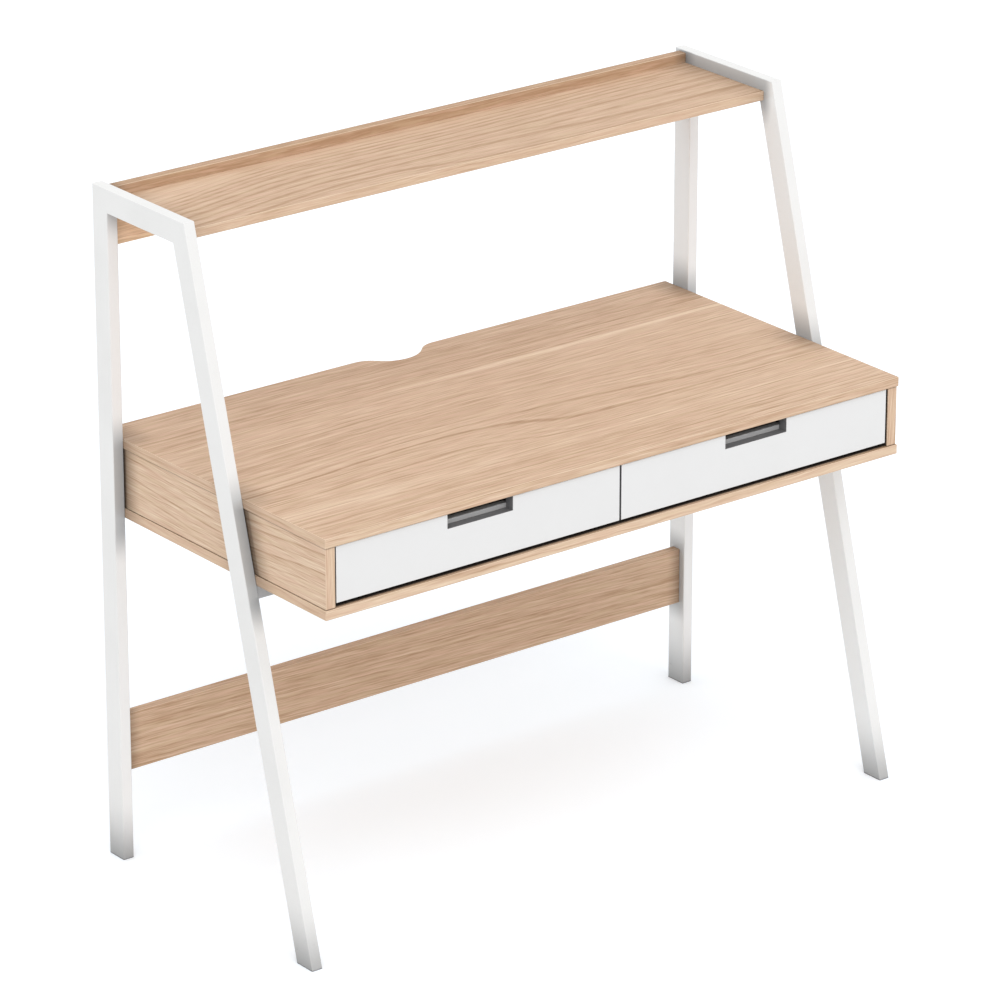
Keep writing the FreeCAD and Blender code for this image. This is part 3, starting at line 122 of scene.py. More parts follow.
def grains(tree, vector, scale, detail, rough):
    inputs = {"Vector": vector, "Scale": scale, "Detail": detail, "Roughness": rough}
    return addNode(tree, "ShaderNodeTexNoise", inputs).outputs[0]


def bump(tree, height, distance):
    return addNode(tree, "ShaderNodeBump", {"Height": height, "Distance": distance}).outputs[0]


def newMaterial(name, fixed):
    # a Principled material; fixed holds the values that are the same all over
    material = bpy.data.materials.new(name)
    material.use_nodes = True
    tree = material.node_tree
    tree.nodes.clear()
    shader = addNode(tree, "ShaderNodeBsdfPrincipled", fixed)
    ending = addNode(tree, "ShaderNodeOutputMaterial")
    tree.links.new(shader.outputs[0], ending.inputs[0])
    return material, tree, shader


def objectPlace(tree):
    # place on the desk, in metres, and which way the surface faces there
    corner = addNode(tree, "ShaderNodeTexCoord")
    return corner.outputs["Object"], corner.outputs["Normal"]


def vectors(tree, operation, *values):
    return addNode(tree, "ShaderNodeVectorMath", dict(enumerate(values)), operation=operation).outputs


def split(tree, vector):
    return addNode(tree, "ShaderNodeSeparateXYZ", {0: vector}).outputs


# solids that stand close to others, on the right-hand side; both sides are alike
closeSolids = ("right_rear_leg", "right_front_leg", "right_top_rail", "shelf_board", "shelf_back_board",
               "stretcher_board", "desk_top", "box_bottom")
solids = {name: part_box(name) for name in closeSolids}
solids["box"] = (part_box("box_bottom")[0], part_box("desk_top")[1])
legWidth = 0.0414                       # of a front leg, level
inFront = 0.002                         # a solid has to stand out this far in front of a face to shade it
legLow, legHigh = solids["right_front_leg"]
legSlope = (legHigh[1] - legLow[1] - legWidth) / (legHigh[2] - legLow[2])


def contact(tree, place, normal, walls):
    # painted shade: how much light is left, 0 to 1, in the corners with the solids named in walls;
    # each wall is its name, the light that it takes, its reach across and, if different, its reach along
    across = split(tree, place)
    sideways = flatVector(tree, sums(tree, "SIGN", across[0]), 1.0, 1.0)
    place = vectors(tree, "MULTIPLY", place, sideways)[0]
    normal = vectors(tree, "MULTIPLY", normal, sideways)[0]
    light = 1.0
    for name, taken, *reach in walls:
        low, high = (Vector(corner) for corner in solids[name])
        spot = place
        if name == "right_front_leg":
            # the leg leans; seen along its slope it is a plain box
            high[1] = low[1] + legWidth
            lean = flatVector(tree, 0.0, sums(tree, "MULTIPLY", across[2], legSlope))
            spot = vectors(tree, "SUBTRACT", place, lean)[0]
        nearest = vectors(tree, "MINIMUM", vectors(tree, "MAXIMUM", spot, low)[0], high)[0]
        towards = vectors(tree, "SUBTRACT", nearest, spot)[0]
        squeezed = vectors(tree, "MULTIPLY", towards, (1.0, reach[0] / reach[-1], 1.0))[0]
        distance = vectors(tree, "LENGTH", squeezed)["Value"]
        facing = vectors(tree, "DOT_PRODUCT", normal, vectors(tree, "NORMALIZE", towards)[0])["Value"]
        # a solid that lies wholly behind the face takes nothing
        offset = vectors(tree, "SUBTRACT", (low + high) / 2, spot)[0]
        middle = vectors(tree, "DOT_PRODUCT", normal, offset)["Value"]
        half = vectors(tree, "DOT_PRODUCT", vectors(tree, "ABSOLUTE", normal)[0], (high - low) / 2)["Value"]
        inSight = fade(tree, sums(tree, "ADD", middle, half), 0.0, inFront)
        shade = fade(tree, distance, reach[0], 0.0, (0.0, taken))
        shade = sums(tree, "MULTIPLY", shade, inSight)
        shade = sums(tree, "MULTIPLY", shade, sums(tree, "ADD", facing, 1.0))
        light = sums(tree, "MULTIPLY", light, sums(tree, "SUBTRACT", 1.0, shade, clamp=True))
    return light


# oak foil on board

oakLook = {
    "dark": tint(178, 143, 112),
    "body": tint(212, 181, 154),
    "pale": tint(234, 211, 185),
    "rose": tint(217, 182, 157),
    "straw": tint(213, 186, 154),
    "shadow": tint(40, 28, 18),         # what the corners fade to
    "boxShade": tint(66, 57, 52),         # painted shade inside the box, behind the drawer fronts
    "roughness": 0.56,
    "gloss": 0.16,                      # how much the roughness varies with the fibres
    "tape": 0.001,                      # edge tape on the board's edges
    "seam": 0.0003,                     # the glue line beside it
    "seamDark": 0.55,
    "poreDark": 0.3,
    # noise from which these set in, and at which they are full
    "poreFrom": (0.62, 0.74),
    "ringFrom": (0.35, 0.65),
    "roseFrom": (0.48, 0.68),
    "strawFrom": (0.52, 0.32),
    "ringHalf": 0.055,
    "hue": 0.5,                         # how far patches of the foil go to rose and to straw
    "paleEdgeHighlight": 0.7,                      # painted highlight on the rounded edges, where the foil is also stretched paler: how pale they are
    "paleEdgeHighlightFrom": (0.99, 0.9),          # how square to an axis a face is where that starts and is full
    "relief": 0.00008,
    "poreDepth": -0.8,                  # in parts of the fibres' height
    "seamDepth": -1.2,
}
# noise in the foil: features per metre along and across the grain, then detail and roughness
grainParts = {
    "drift": (1.3, 3.9, 2.0, 0.45),
    "ripple": (13.0, 40.0, 2.0, 0.5),
    "wide": (0.5, 16.0, 3.0, 0.55),
    "bands": (1.3, 120.0, 3.0, 0.62),
    "dashes": (11.0, 260.0, 2.0, 0.55),
    "threads": (0.5, 230.0, 2.0, 0.55),
    "fibres": (14.0, 530.0, 2.0, 0.6),
    "rings": (0.9, 38.0, 1.0, 0.4),
    "ringStrength": (1.6, 14.0, 1.0, 0.5),
    "pores": (60.0, 1700.0, 2.0, 0.6),
    "hue": (9.0, 110.0, 3.0, 0.6),
}
# how far the grain drifts and ripples sideways, on a board with its own bends and on the others
sway = {"ownBends": (0.012, 0.004), "others": (0.036, 0.007)}
throughShift = 0.9                      # how far the pattern moves across, per depth into the board
boardsBegin = -0.6                      # where the longest boards begin; a line that fades in before is whole
# space behind the drawer fronts, and how softly the painted shade starts there
boxShadeSpace = {"half": 0.5605, "front": -0.2965, "back": 0.2285, "low": 0.6105, "high": 0.7135,
             "soft": 0.007, "sideSoft": 0.002, "edge": 0.0001}
squareOn = 0.7                          # a face looks along an axis when its normal has this much of it
facesAgainst = (-0.5, -0.9)             # and against it, softly, from the first of these to the second

# grain: the axis it runs along, the one across it and the one through the board;
# ends: the same for the board's ends; shift moves the pattern, strengths scale its parts;
# tone makes a board's faces paler or browner, edge does so for its long edges
oakBoards = {
    "desk_top": {
        "grain": "xyz", "ends": "yx", "shift": (0, 0, -0.729),
        "strengths": {"wide": 0.4, "bands": 0.85, "dashes": 0.95, "fibres": 1.4, "rings": 0.15,
                      "threads": 0.85},
        # each bend: where it starts and ends along the grain, the band across that it moves, and how far
        "bends": [(0.30, 0.58, -0.125, -0.145, -0.16, -0.185, -0.014),
                  (-0.02, 0.45, 0.12, -0.09, -0.10, -0.14, 0.045),
                  (-0.19, 0.06, -0.03, -0.13, -0.155, -0.195, 0.055),
                  (-0.20, -0.60, 0.15, 0.0, -0.12, -0.175, 0.027),
                  (-0.50, 0.55, 0.70, 0.50, 0.20, 0.15, 0.020)],
        # each line: where it lies across the grain, half its width, how pale, and where it fades in
        "lines": [(-0.064, 0.0055, -0.42, -0.9, -0.8), (-0.043, 0.0045, -0.30, -0.9, -0.8),
                  (-0.003, 0.004, -0.22, -0.9, -0.8), (-0.1235, 0.0042, -0.25, 0.35, 0.0),
                  (-0.022, 0.003, -0.16, -0.9, -0.8), (0.014, 0.003, -0.20, -0.4, 0.0),
                  (0.033, 0.003, -0.20, -0.9, -0.8), (0.1525, 0.009, 0.42, -0.3, 0.05),
                  (0.146, 0.016, 0.16, -0.1, 0.2), (-0.192, 0.023, 0.20, 0.0, -0.4),
                  (-0.187, 0.007, 0.28, -0.2, 0.1), (-0.217, 0.003, -0.20, -0.9, -0.8),
                  (-0.229, 0.003, -0.22, -0.9, -0.8), (-0.247, 0.004, -0.24, -0.9, -0.8),
                  (-0.260, 0.003, -0.22, -0.9, -0.8), (-0.272, 0.003, -0.24, -0.9, -0.8),
                  (-0.283, 0.003, -0.22, -0.9, -0.8), (0.172, 0.003, -0.16, -0.9, -0.8),
                  (0.187, 0.0035, -0.18, -0.9, -0.8), (0.216, 0.0045, -0.22, -0.9, -0.8),
                  (0.247, 0.004, -0.18, -0.9, -0.8), (0.264, 0.003, -0.16, -0.9, -0.8)],
        "shade": (0.150, 0.165, -0.12),     # painted shade of the shelf and frames: the strip at the back is a little browner
        "contact": [("right_rear_leg", 0.36, 0.06), ("right_front_leg", 0.3, 0.06)],
    },
    "shelf_board": {
        "grain": "xyz", "ends": "yx", "shift": (0, 0, -1.1295),
        "strengths": {"wide": 0.0, "bands": 0.35, "dashes": 0.75, "fibres": 1.25, "rings": 0.1,
                      "threads": 0.4},
        "tone": -0.15, "edge": 0.08,
        "bends": [(0.05, 0.33, 0.16, 0.095, 0.06, 0.05, 0.012),
                  (-0.10, 0.60, 0.30, 0.26, 0.16, 0.10, -0.020),
                  (-0.19, 0.02, 0.110, 0.060, 0.04, 0.00, 0.030),
                  (-0.24, -0.64, 0.32, 0.21, 0.05, -0.06, 0.055)],
        "lines": [(0.083, 0.0060, -0.60, -0.9, -0.8), (0.108, 0.0055, -0.60, -0.9, -0.8),
                  (0.148, 0.0055, -0.60, -0.9, -0.8), (0.128, 0.0045, -0.30, -0.9, -0.8),
                  (0.166, 0.0040, -0.35, -0.9, -0.8), (0.183, 0.0045, -0.45, -0.9, -0.8),
                  (0.196, 0.0035, -0.35, -0.9, -0.8), (0.209, 0.0040, -0.40, -0.9, -0.8),
                  (0.222, 0.0035, -0.35, -0.9, -0.8), (0.236, 0.0035, -0.30, -0.9, -0.8)],
        # painted light: the strip at the back of the shelf, beside the lip, is paler
        "shade": (0.19, 0.245, 0.2),
        "contact": [("right_top_rail", 0.14, 0.08), ("right_rear_leg", 0.14, 0.08)],
    },
    "box_bottom": {"grain": "xyz", "ends": "yx", "shift": (3.1, 2.2, 0), "edge": 0.2,
                   "contact": [("right_rear_leg", 0.36, 0.06), ("right_front_leg", 0.3, 0.06)]},
    "shelf_back_board": {
        "grain": "xzy", "ends": "yx", "shift": (5.3, 0.4, 1.7),
        "strengths": {"wide": 0.3, "bands": 0.9, "dashes": 0.8, "fibres": 1.1, "rings": 0.3, "threads": 0.4},
        # painted shade: the board is browner for the corner that it makes with the shelf
        "tone": -0.33, "edge": -0.6,
        "under": (1.66, 1.78, 1.84),        # painted light: its front below the shelf, in the shelf's shade, is lifted to the paleness of the other boards
        "bends": [],
        "contact": [("right_rear_leg", 0.2, 0.03), ("right_top_rail", 0.2, 0.03)],
    },
    "stretcher_board": {
        "grain": "xzy", "ends": "yx", "shift": (7.9, 1.3, 0.6), "slant": 0.03,
        "strengths": {"wide": 0.15, "bands": 0.8, "dashes": 0.55, "fibres": 1.35, "rings": 0.2,
                      "threads": 1.2},
        "tone": -0.16,
        "bends": [],
        "contact": [("right_rear_leg", 0.38, 0.032)],
    },
    "left_side_panel": {
        "grain": "yzx", "ends": "zy", "shift": (0.578, 0, 0),
        "strengths": {"wide": 0.0, "bands": 0.6, "dashes": 0.85, "fibres": 1.7, "rings": 0.1,
                      "threads": 0.4},
        "tone": 0.15,
        "bends": [(-0.05, 0.30, 0.95, 0.85, 0.45, 0.35, -0.020),
                  (-0.05, -0.32, 0.95, 0.85, 0.45, 0.35, -0.018)],
        "lines": [(0.697, 0.0022, -0.30, -0.9, -0.8), (0.684, 0.0024, -0.50, -0.9, -0.8),
                  (0.668, 0.0020, -0.30, -0.9, -0.8), (0.652, 0.0024, -0.50, -0.9, -0.8),
                  (0.641, 0.0020, -0.35, -0.9, -0.8), (0.630, 0.0022, -0.35, -0.9, -0.8),
                  (0.618, 0.0020, -0.25, -0.9, -0.8)],
        "contact": [("right_rear_leg", 0.42, 0.045), ("right_front_leg", 0.36, 0.045),
                    ("desk_top", 0.6, 0.0032), ("box_bottom", 0.85, 0.0025)],
    },
    "right_side_panel": {
        "grain": "yzx", "ends": "zy", "shift": (1.9, 5.2, 3.3), "slant": -0.04,
        "strengths": {"wide": 0.15, "bands": 0.35, "dashes": 0.9, "fibres": 1.7, "rings": 0.4,
                      "threads": 0.4},
        "contact": [("right_rear_leg", 0.42, 0.045), ("right_front_leg", 0.36, 0.045),
                    ("desk_top", 0.6, 0.0032), ("box_bottom", 0.85, 0.0025)],
    },
    "back_panel": {"grain": "xzy", "ends": "yx", "shift": (6.1, 0.2, 4.5)},
    "centre_divider": {"grain": "yzx", "ends": "zy", "shift": (2.3, 6.1, 1.2)},
}
plainStrengths = {"wide": 0.3, "bands": 0.7, "dashes": 0.9, "fibres": 1.0, "rings": 0.4, "threads": 0.4}


def between(tree, value, low, high, soft):
    # 1 between low and high, 0 outside
    return sums(tree, "MULTIPLY", fade(tree, value, low - soft, low + soft),
                fade(tree, value, high + soft, high - soft))


def grainNoise(tree, run, line, part):
    # noise drawn out along the grain
    alongScale, acrossScale, detail, rough = grainParts[part]
    x = sums(tree, "MULTIPLY", run, alongScale)
    y = sums(tree, "MULTIPLY", line, acrossScale)
    return grains(tree, flatVector(tree, x, y), 1.0, detail, rough)


def swing(tree, noise, amount, base):
    # base, plus or minus as the noise goes
    return sums(tree, "MULTIPLY_ADD", sums(tree, "SUBTRACT", noise, 0.5), amount, base)


def tapeSeam(tree, spots, facing, name):
    # the fine glue line where the foil on a face meets the edge tape
    low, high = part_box(name)
    nearest = 1.0
    for axis in range(3):
        middle, half = (low[axis] + high[axis]) / 2, (high[axis] - low[axis]) / 2
        offset = sums(tree, "ABSOLUTE", sums(tree, "SUBTRACT", spots[axis], middle))
        gap = sums(tree, "SUBTRACT", half, offset)
        aside = sums(tree, "GREATER_THAN", sums(tree, "ABSOLUTE", facing[axis]), squareOn)
        nearest = sums(tree, "MINIMUM", nearest, sums(tree, "ADD", gap, aside))
    return between(tree, nearest, oakLook["tape"], oakLook["tape"] + oakLook["seam"], oakLook["seam"] / 2)


def grainPlace(tree, board, place, facing):
    # where a spot lies along the grain and across it, and 1 on the board's long edges
    shifted = addNode(tree, "ShaderNodeMapping", {"Vector": place, "Location": board["shift"]}).outputs[0]
    moved = split(tree, shifted)
    axis = {"x": 0, "y": 1, "z": 2}
    along, across, through = (moved[axis[letter]] for letter in board["grain"])
    endAlong, endAcross = (moved[axis[letter]] for letter in board["ends"])
    alongFacing = sums(tree, "ABSOLUTE", facing[axis[board["grain"][0]]])
    acrossFacing = sums(tree, "ABSOLUTE", facing[axis[board["grain"][1]]])
    onEnd = sums(tree, "GREATER_THAN", alongFacing, squareOn)
    onEdge = sums(tree, "GREATER_THAN", acrossFacing, squareOn)
    run = pick(tree, onEnd, along, endAlong)
    line = sums(tree, "MULTIPLY_ADD", through, throughShift, pick(tree, onEnd, across, endAcross))
    if "slant" in board:
        line = sums(tree, "MULTIPLY_ADD", run, board["slant"], line)
    driftBy, rippleBy = sway["ownBends" if "bends" in board else "others"]
    drift = grainNoise(tree, run, line, "drift")
    ripple = grainNoise(tree, run, line, "ripple")
    line = swing(tree, drift, driftBy, line)
    line = swing(tree, ripple, rippleBy, line)
    return run, line, onEdge


def bentLine(tree, board, run, line):
    # the growth lines bend round the figure, which the fine fibres don't
    bent = line
    for start, end, topEdge, topFull, lowFull, lowEdge, amount in board.get("bends", []):
        band = sums(tree, "MULTIPLY", fade(tree, bent, topEdge, topFull), fade(tree, bent, lowEdge, lowFull))
        step = fade(tree, run, start, end, (0.0, amount))
        bent = sums(tree, "MULTIPLY_ADD", band, step, bent)
    return bent


def grainLevel(tree, board, run, line, bent, onEdge):
    # how pale the wood is, about 0.5 on the whole, and its fibres
    strengths = board.get("strengths", plainStrengths)
    tone = board.get("tone", 0.0)
    level = pick(tree, onEdge, 0.5 + tone, 0.5 + board.get("edge", tone))
    fibres = grainNoise(tree, run, line, "fibres")
    parts = {"wide": grainNoise(tree, run, bent, "wide"), "bands": grainNoise(tree, run, bent, "bands"),
             "dashes": grainNoise(tree, run, line, "dashes"), "fibres": fibres,
             "threads": grainNoise(tree, run, bent, "threads")}
    for part, noise in parts.items():
        level = swing(tree, noise, strengths[part], level)
    rings = grainNoise(tree, run, bent, "rings")
    ringStrength = grainNoise(tree, run, bent, "ringStrength")
    offRing = sums(tree, "ABSOLUTE", sums(tree, "SUBTRACT", rings, 0.5))
    ringLine = sums(tree, "MULTIPLY", fade(tree, offRing, oakLook["ringHalf"], 0.0),
                    fade(tree, ringStrength, *oakLook["ringFrom"]))
    level = sums(tree, "MULTIPLY_ADD", ringLine, -strengths["rings"], level)
    onFace = sums(tree, "SUBTRACT", 1.0, onEdge)
    for centre, half, amount, first, last in board.get("lines", []):
        offset = sums(tree, "ABSOLUTE", sums(tree, "SUBTRACT", bent, centre))
        stripe = fade(tree, offset, half, 0.0, (0.0, amount))
        if max(first, last) > boardsBegin:
            stripe = sums(tree, "MULTIPLY", stripe, fade(tree, run, first, last))
        level = sums(tree, "MULTIPLY_ADD", stripe, onFace, level)
    if "shade" in board:
        start, end, amount = board["shade"]
        level = sums(tree, "MULTIPLY_ADD", fade(tree, bent, start, end, (0.0, amount)), onFace, level)
    return level, fibres


def shadeInsideBox(tree, name, spots):
    # 1 where the board has painted shade, in the box behind the drawer fronts
    aside = sums(tree, "LESS_THAN", sums(tree, "ABSOLUTE", spots[0]), boxShadeSpace["half"])
    soft = boxShadeSpace["sideSoft" if name.endswith("side_panel") else "soft"]
    deep = sums(tree, "MULTIPLY", fade(tree, spots[1], boxShadeSpace["front"], boxShadeSpace["front"] + soft),
                sums(tree, "LESS_THAN", spots[1], boxShadeSpace["back"]))
    inHeight = between(tree, spots[2], boxShadeSpace["low"], boxShadeSpace["high"], boxShadeSpace["edge"])
    return sums(tree, "MULTIPLY", sums(tree, "MULTIPLY", aside, deep), inHeight)


def oakMaterial(name, board):
    fixed = {"Specular IOR Level": 0.35, "IOR": 1.48}
    material, tree, shader = newMaterial(f"oak_{name}", fixed)
    place, normal = objectPlace(tree)
    spots = split(tree, place)
    facing = split(tree, normal)
    run, line, onEdge = grainPlace(tree, board, place, facing)
    bent = bentLine(tree, board, run, line)
    level, fibres = grainLevel(tree, board, run, line, bent, onEdge)
    wood = ramp(tree, level, [(0.0, oakLook["dark"]), (0.5, oakLook["body"]), (1.0, oakLook["pale"])])
    hue = grainNoise(tree, run, line, "hue")
    rosy = fade(tree, hue, *oakLook["roseFrom"], (0.0, oakLook["hue"]))
    wood = mixColour(tree, rosy, wood, oakLook["rose"])
    strawy = fade(tree, hue, *oakLook["strawFrom"], (0.0, oakLook["hue"]))
    wood = mixColour(tree, strawy, wood, oakLook["straw"])
    poreMarks = fade(tree, grainNoise(tree, run, line, "pores"), *oakLook["poreFrom"])
    wood = mixColour(tree, sums(tree, "MULTIPLY", poreMarks, oakLook["poreDark"]), wood, oakLook["dark"])
    seam = tapeSeam(tree, spots, facing, name)
    wood = mixColour(tree, sums(tree, "MULTIPLY", seam, oakLook["seamDark"]), wood, oakLook["dark"])
    # painted highlight: the rounded edges are paler, also for the stretched foil there
    squareness = split(tree, vectors(tree, "ABSOLUTE", normal)[0])
    squareness = sums(tree, "MAXIMUM", sums(tree, "MAXIMUM", squareness[0], squareness[1]), squareness[2])
    edgeHighlight = fade(tree, squareness, *oakLook["paleEdgeHighlightFrom"], (0.0, oakLook["paleEdgeHighlight"]))
    wood = mixColour(tree, edgeHighlight, wood, oakLook["pale"])
    # painted light on the front below the shelf
    if "under" in board:
        below = sums(tree, "LESS_THAN", spots[2], solids["shelf_board"][0][2])
        below = sums(tree, "MULTIPLY", below, sums(tree, "LESS_THAN", facing[1], facesAgainst[0]))
        wood = mixColour(tree, below, wood, vectors(tree, "MULTIPLY", wood, board["under"])[0])
    if "contact" in board:
        light = contact(tree, place, normal, board["contact"])
        wood = mixColour(tree, light, oakLook["shadow"], wood)
    # painted shade in the box, behind the drawer fronts
    wood = mixColour(tree, shadeInsideBox(tree, name, spots), wood, oakLook["boxShade"])
    tree.links.new(wood, shader.inputs["Base Color"])
    tree.links.new(swing(tree, fibres, oakLook["gloss"], oakLook["roughness"]), shader.inputs["Roughness"])
    height = sums(tree, "MULTIPLY_ADD", poreMarks, oakLook["poreDepth"], fibres)
    height = sums(tree, "MULTIPLY_ADD", seam, oakLook["seamDepth"], height)
    tree.links.new(bump(tree, height, oakLook["relief"]), shader.inputs["Normal"])
    return material


# white steel, white fronts and the rest

plainLooks = {
    "white_steel": {"colour": tint(235, 235, 234), "shade": tint(230, 230, 229), "roughness": 0.38,
                    "scale": 850, "depth": 0.00003},
    "white_front": {"colour": tint(228, 228, 228), "shade": tint(226, 226, 226), "roughness": 0.4,
                    "scale": 1500, "depth": 0.00002},
    "drawer_board": {"colour": tint(193, 193, 193), "shade": tint(186, 186, 186), "roughness": 0.5,
                     "scale": 1200, "depth": 0.00004},
    "drawer_bottom_board": {"colour": tint(201, 201, 200), "shade": tint(193, 193, 193), "roughness": 0.55,
                            "scale": 1200, "depth": 0.00004},
    "slide_steel": {"colour": tint(192, 192, 192), "shade": tint(160, 161, 163), "roughness": 0.36,
                    "scale": 260, "depth": 0.00002, "metal": 1.0, "drawn": True},
    "ball_steel": {"colour": tint(214, 214, 216), "shade": tint(196, 196, 199), "roughness": 0.2,
                   "scale": 400, "depth": 0.00001, "metal": 1.0},
    "zinc_fixings": {"colour": tint(204, 204, 204), "shade": tint(170, 171, 173), "roughness": 0.34,
                     "scale": 500, "depth": 0.00003, "metal": 1.0},
    "beech_dowel": {"colour": tint(206, 174, 138), "shade": tint(190, 154, 118), "roughness": 0.7,
                    "scale": 600, "depth": 0.00005},
    "foot_plastic": {"colour": tint(196, 196, 197), "shade": tint(182, 182, 184), "roughness": 0.6,
                     "scale": 1400, "depth": 0.00006},
}
drawnLines = (12.0, 1500.0, 1500.0)     # features per metre along the slides' steel and across it
# what shades the frames' steel: the boards, and the whole box
steelContact = [("shelf_board", 0.49, 0.055, 0.024), ("shelf_back_board", 0.3, 0.03),
                ("stretcher_board", 0.4, 0.04)]
boxContact = [("box", 0.52, 0.066)]
boxLower = 0.016                        # the box's shade sits this much lower on the legs' fronts
steelShadow = tint(22, 48, 64)
paintedLightInside = tint(243, 247, 249)       # painted light: the faces that look in at the boards are paler and cooler
paintedLightUpright = tint(241, 241, 241)      # painted light: the fronts of the rear legs, which stand upright, are paler
paintedLightUprightFrom = (-0.975, -0.995)
# painted shade towards the floor, with small scuffs: noise is features per metre, detail and roughness of the
# scuffs; upturned is for faces that look up a little, which get less shade
footShadeAndScuffs = {"top": 0.125, "bottom": -0.03, "fall": 1.4, "strength": 0.74, "upturned": (0.05, 0.2, (1.0, 0.8)),
          "noise": (90.0, 4.0, 0.65), "marksFrom": (0.60, 0.75), "marks": 0.12, "colour": tint(60, 60, 62)}
# painted highlight on the fronts' rims, and painted shade in grey on their edges and finger notches
frontRimAndShade = {"colour": tint(122, 122, 124), "rimHighlight": tint(246, 246, 246), "behind": -0.2952,
             "soft": 0.0002, "low": 0.618, "inner": 0.002, "outer": 0.5565, "rim": 0.0011,
             "rimFull": 0.0004, "edgeOn": 0.5}
# all plain finishes are clouded a little and finely grained
mottling = {"clouds": (7.0, 3.0, 0.6), "fine": (2.0, 0.6), "fineShare": 0.8, "from": (0.3, 0.8),
            "gloss": 0.14}


def shadedAndScuffed(tree, place, spots, facing, colour):
    # painted shade: the lowest part of the legs is greyer towards the floor, with small scuffs
    low = sums(tree, "POWER", fade(tree, spots[2], footShadeAndScuffs["top"], footShadeAndScuffs["bottom"]), footShadeAndScuffs["fall"])
    low = sums(tree, "MULTIPLY", low, fade(tree, facing[2], *footShadeAndScuffs["upturned"]))
    marks = fade(tree, grains(tree, place, *footShadeAndScuffs["noise"]), *footShadeAndScuffs["marksFrom"], (0.0, footShadeAndScuffs["marks"]))
    amount = sums(tree, "MULTIPLY", low, sums(tree, "ADD", marks, footShadeAndScuffs["strength"]))
    return mixColour(tree, amount, colour, footShadeAndScuffs["colour"])


def frontColour(tree, spots, facing, colour):
    # a front is white, with a painted highlight on its rounded rim, and painted shade in grey on its edges
    # and in its finger notch
    aside = sums(tree, "ABSOLUTE", spots[0])
    rim = sums(tree, "MINIMUM", sums(tree, "SUBTRACT", aside, frontRimAndShade["inner"]),
               sums(tree, "SUBTRACT", frontRimAndShade["outer"], aside))
    rim = sums(tree, "MINIMUM", rim, sums(tree, "SUBTRACT", spots[2], frontRimAndShade["low"]))
    onRimHighlight = fade(tree, rim, frontRimAndShade["rim"], frontRimAndShade["rimFull"])
    colour = mixColour(tree, onRimHighlight, colour, frontRimAndShade["rimHighlight"])
    edge = sums(tree, "LESS_THAN", sums(tree, "ABSOLUTE", facing[1]), frontRimAndShade["edgeOn"])
    behind = fade(tree, spots[1], frontRimAndShade["behind"] - frontRimAndShade["soft"], frontRimAndShade["behind"])
    return mixColour(tree, sums(tree, "MULTIPLY", edge, behind), colour, frontRimAndShade["colour"])


def plainMaterial(name, look):
    material, tree, shader = newMaterial(name, {"Metallic": look.get("metal", 0.0)})
    place, normal = objectPlace(tree)
    spots = split(tree, place)
    facing = split(tree, normal)
    clouds = grains(tree, place, *mottling["clouds"])
    fine = grains(tree, place, look["scale"], *mottling["fine"])
    if look.get("drawn"):
        # fine lines that rolling leaves along the steel
        stretched = vectors(tree, "MULTIPLY", flatVector(tree, spots[1], spots[2], spots[0]), drawnLines)[0]
        fine = grains(tree, stretched, 1.0, *mottling["fine"])
    mottle = swing(tree, fine, mottling["fineShare"], clouds)
    colour = mixColour(tree, fade(tree, mottle, *mottling["from"]), look["colour"], look["shade"])
    if name == "white_steel":
        # painted light: faces that look in at the boards are paler and cooler, and the upright fronts of the
        # rear legs paler
        inwards = sums(tree, "MULTIPLY", facing[0], sums(tree, "SIGN", spots[0]))
        colour = mixColour(tree, fade(tree, inwards, *facesAgainst), colour, paintedLightInside)
        colour = mixColour(tree, fade(tree, facing[1], *paintedLightUprightFrom), colour, paintedLightUpright)
    if name in ("white_steel", "foot_plastic"):
        colour = shadedAndScuffed(tree, place, spots, facing, colour)
    if name == "white_steel":
        colour = mixColour(tree, contact(tree, place, normal, steelContact), steelShadow, colour)
        lowered = fade(tree, facing[1], *facesAgainst, (0.0, boxLower))
        byBox = vectors(tree, "ADD", place, flatVector(tree, 0.0, 0.0, lowered))[0]
        colour = mixColour(tree, contact(tree, byBox, normal, boxContact), steelShadow, colour)
    if name == "white_front":
        colour = frontColour(tree, spots, facing, colour)
    tree.links.new(colour, shader.inputs["Base Color"])
    roughness = swing(tree, mottle, mottling["gloss"], look["roughness"])
    tree.links.new(roughness, shader.inputs["Roughness"])
    tree.links.new(bump(tree, fine, look["depth"]), shader.inputs["Normal"])
    return material


slotOfNode = {part["node"]: part["material_slot"] for part in frame["record"]["subparts"]}
plainMaterials = {name: plainMaterial(name, look) for name, look in plainLooks.items()}
for name, node in nodes.items():
    if name in oakBoards:
        material = oakMaterial(name, oakBoards[name])
    else:
        material = plainMaterials[slotOfNode[name]]
    for index in range(len(node.data.materials)):
        node.data.materials[index] = material
    if not node.data.materials:
        node.data.materials.append(material)
print("materials: oak on", len(oakBoards), "boards,", len(plainMaterials), "others")


# heads of the screws, bolts and cam locks

# each kind: the nodes that it is cut into, the tool's shape, how far that reaches from the middle,
# the width of a cross's wings, and the depth
recesses = {
    "cam": {"nodes": ["cam_locks"], "shape": "cross", "reach": 0.0048, "wing": 0.0016, "depth": 0.0034},
    "cross": {"nodes": ["carcass_screws", "bar_fixings"], "shape": "cross",
              "reach": 0.0024, "wing": 0.0010, "depth": 0.0022},
    "small": {"nodes": ["cabinet_rail_screws", "left_drawer_screws", "right_drawer_screws"],
              "shape": "cross", "reach": 0.0017, "wing": 0.0008, "depth": 0.0016},
    "socket": {"nodes": ["box_bolts"], "shape": "hexagon", "reach": 0.0025, "depth": 0.0022},
}
recessOver = 0.0004                     # the cutter stands this far out of the head
recessTaper = 0.55                      # width of a cross at its bottom, in parts of its width on top
recessTurn = 37                         # degrees from each head to the next
sameSpot = 0.000001
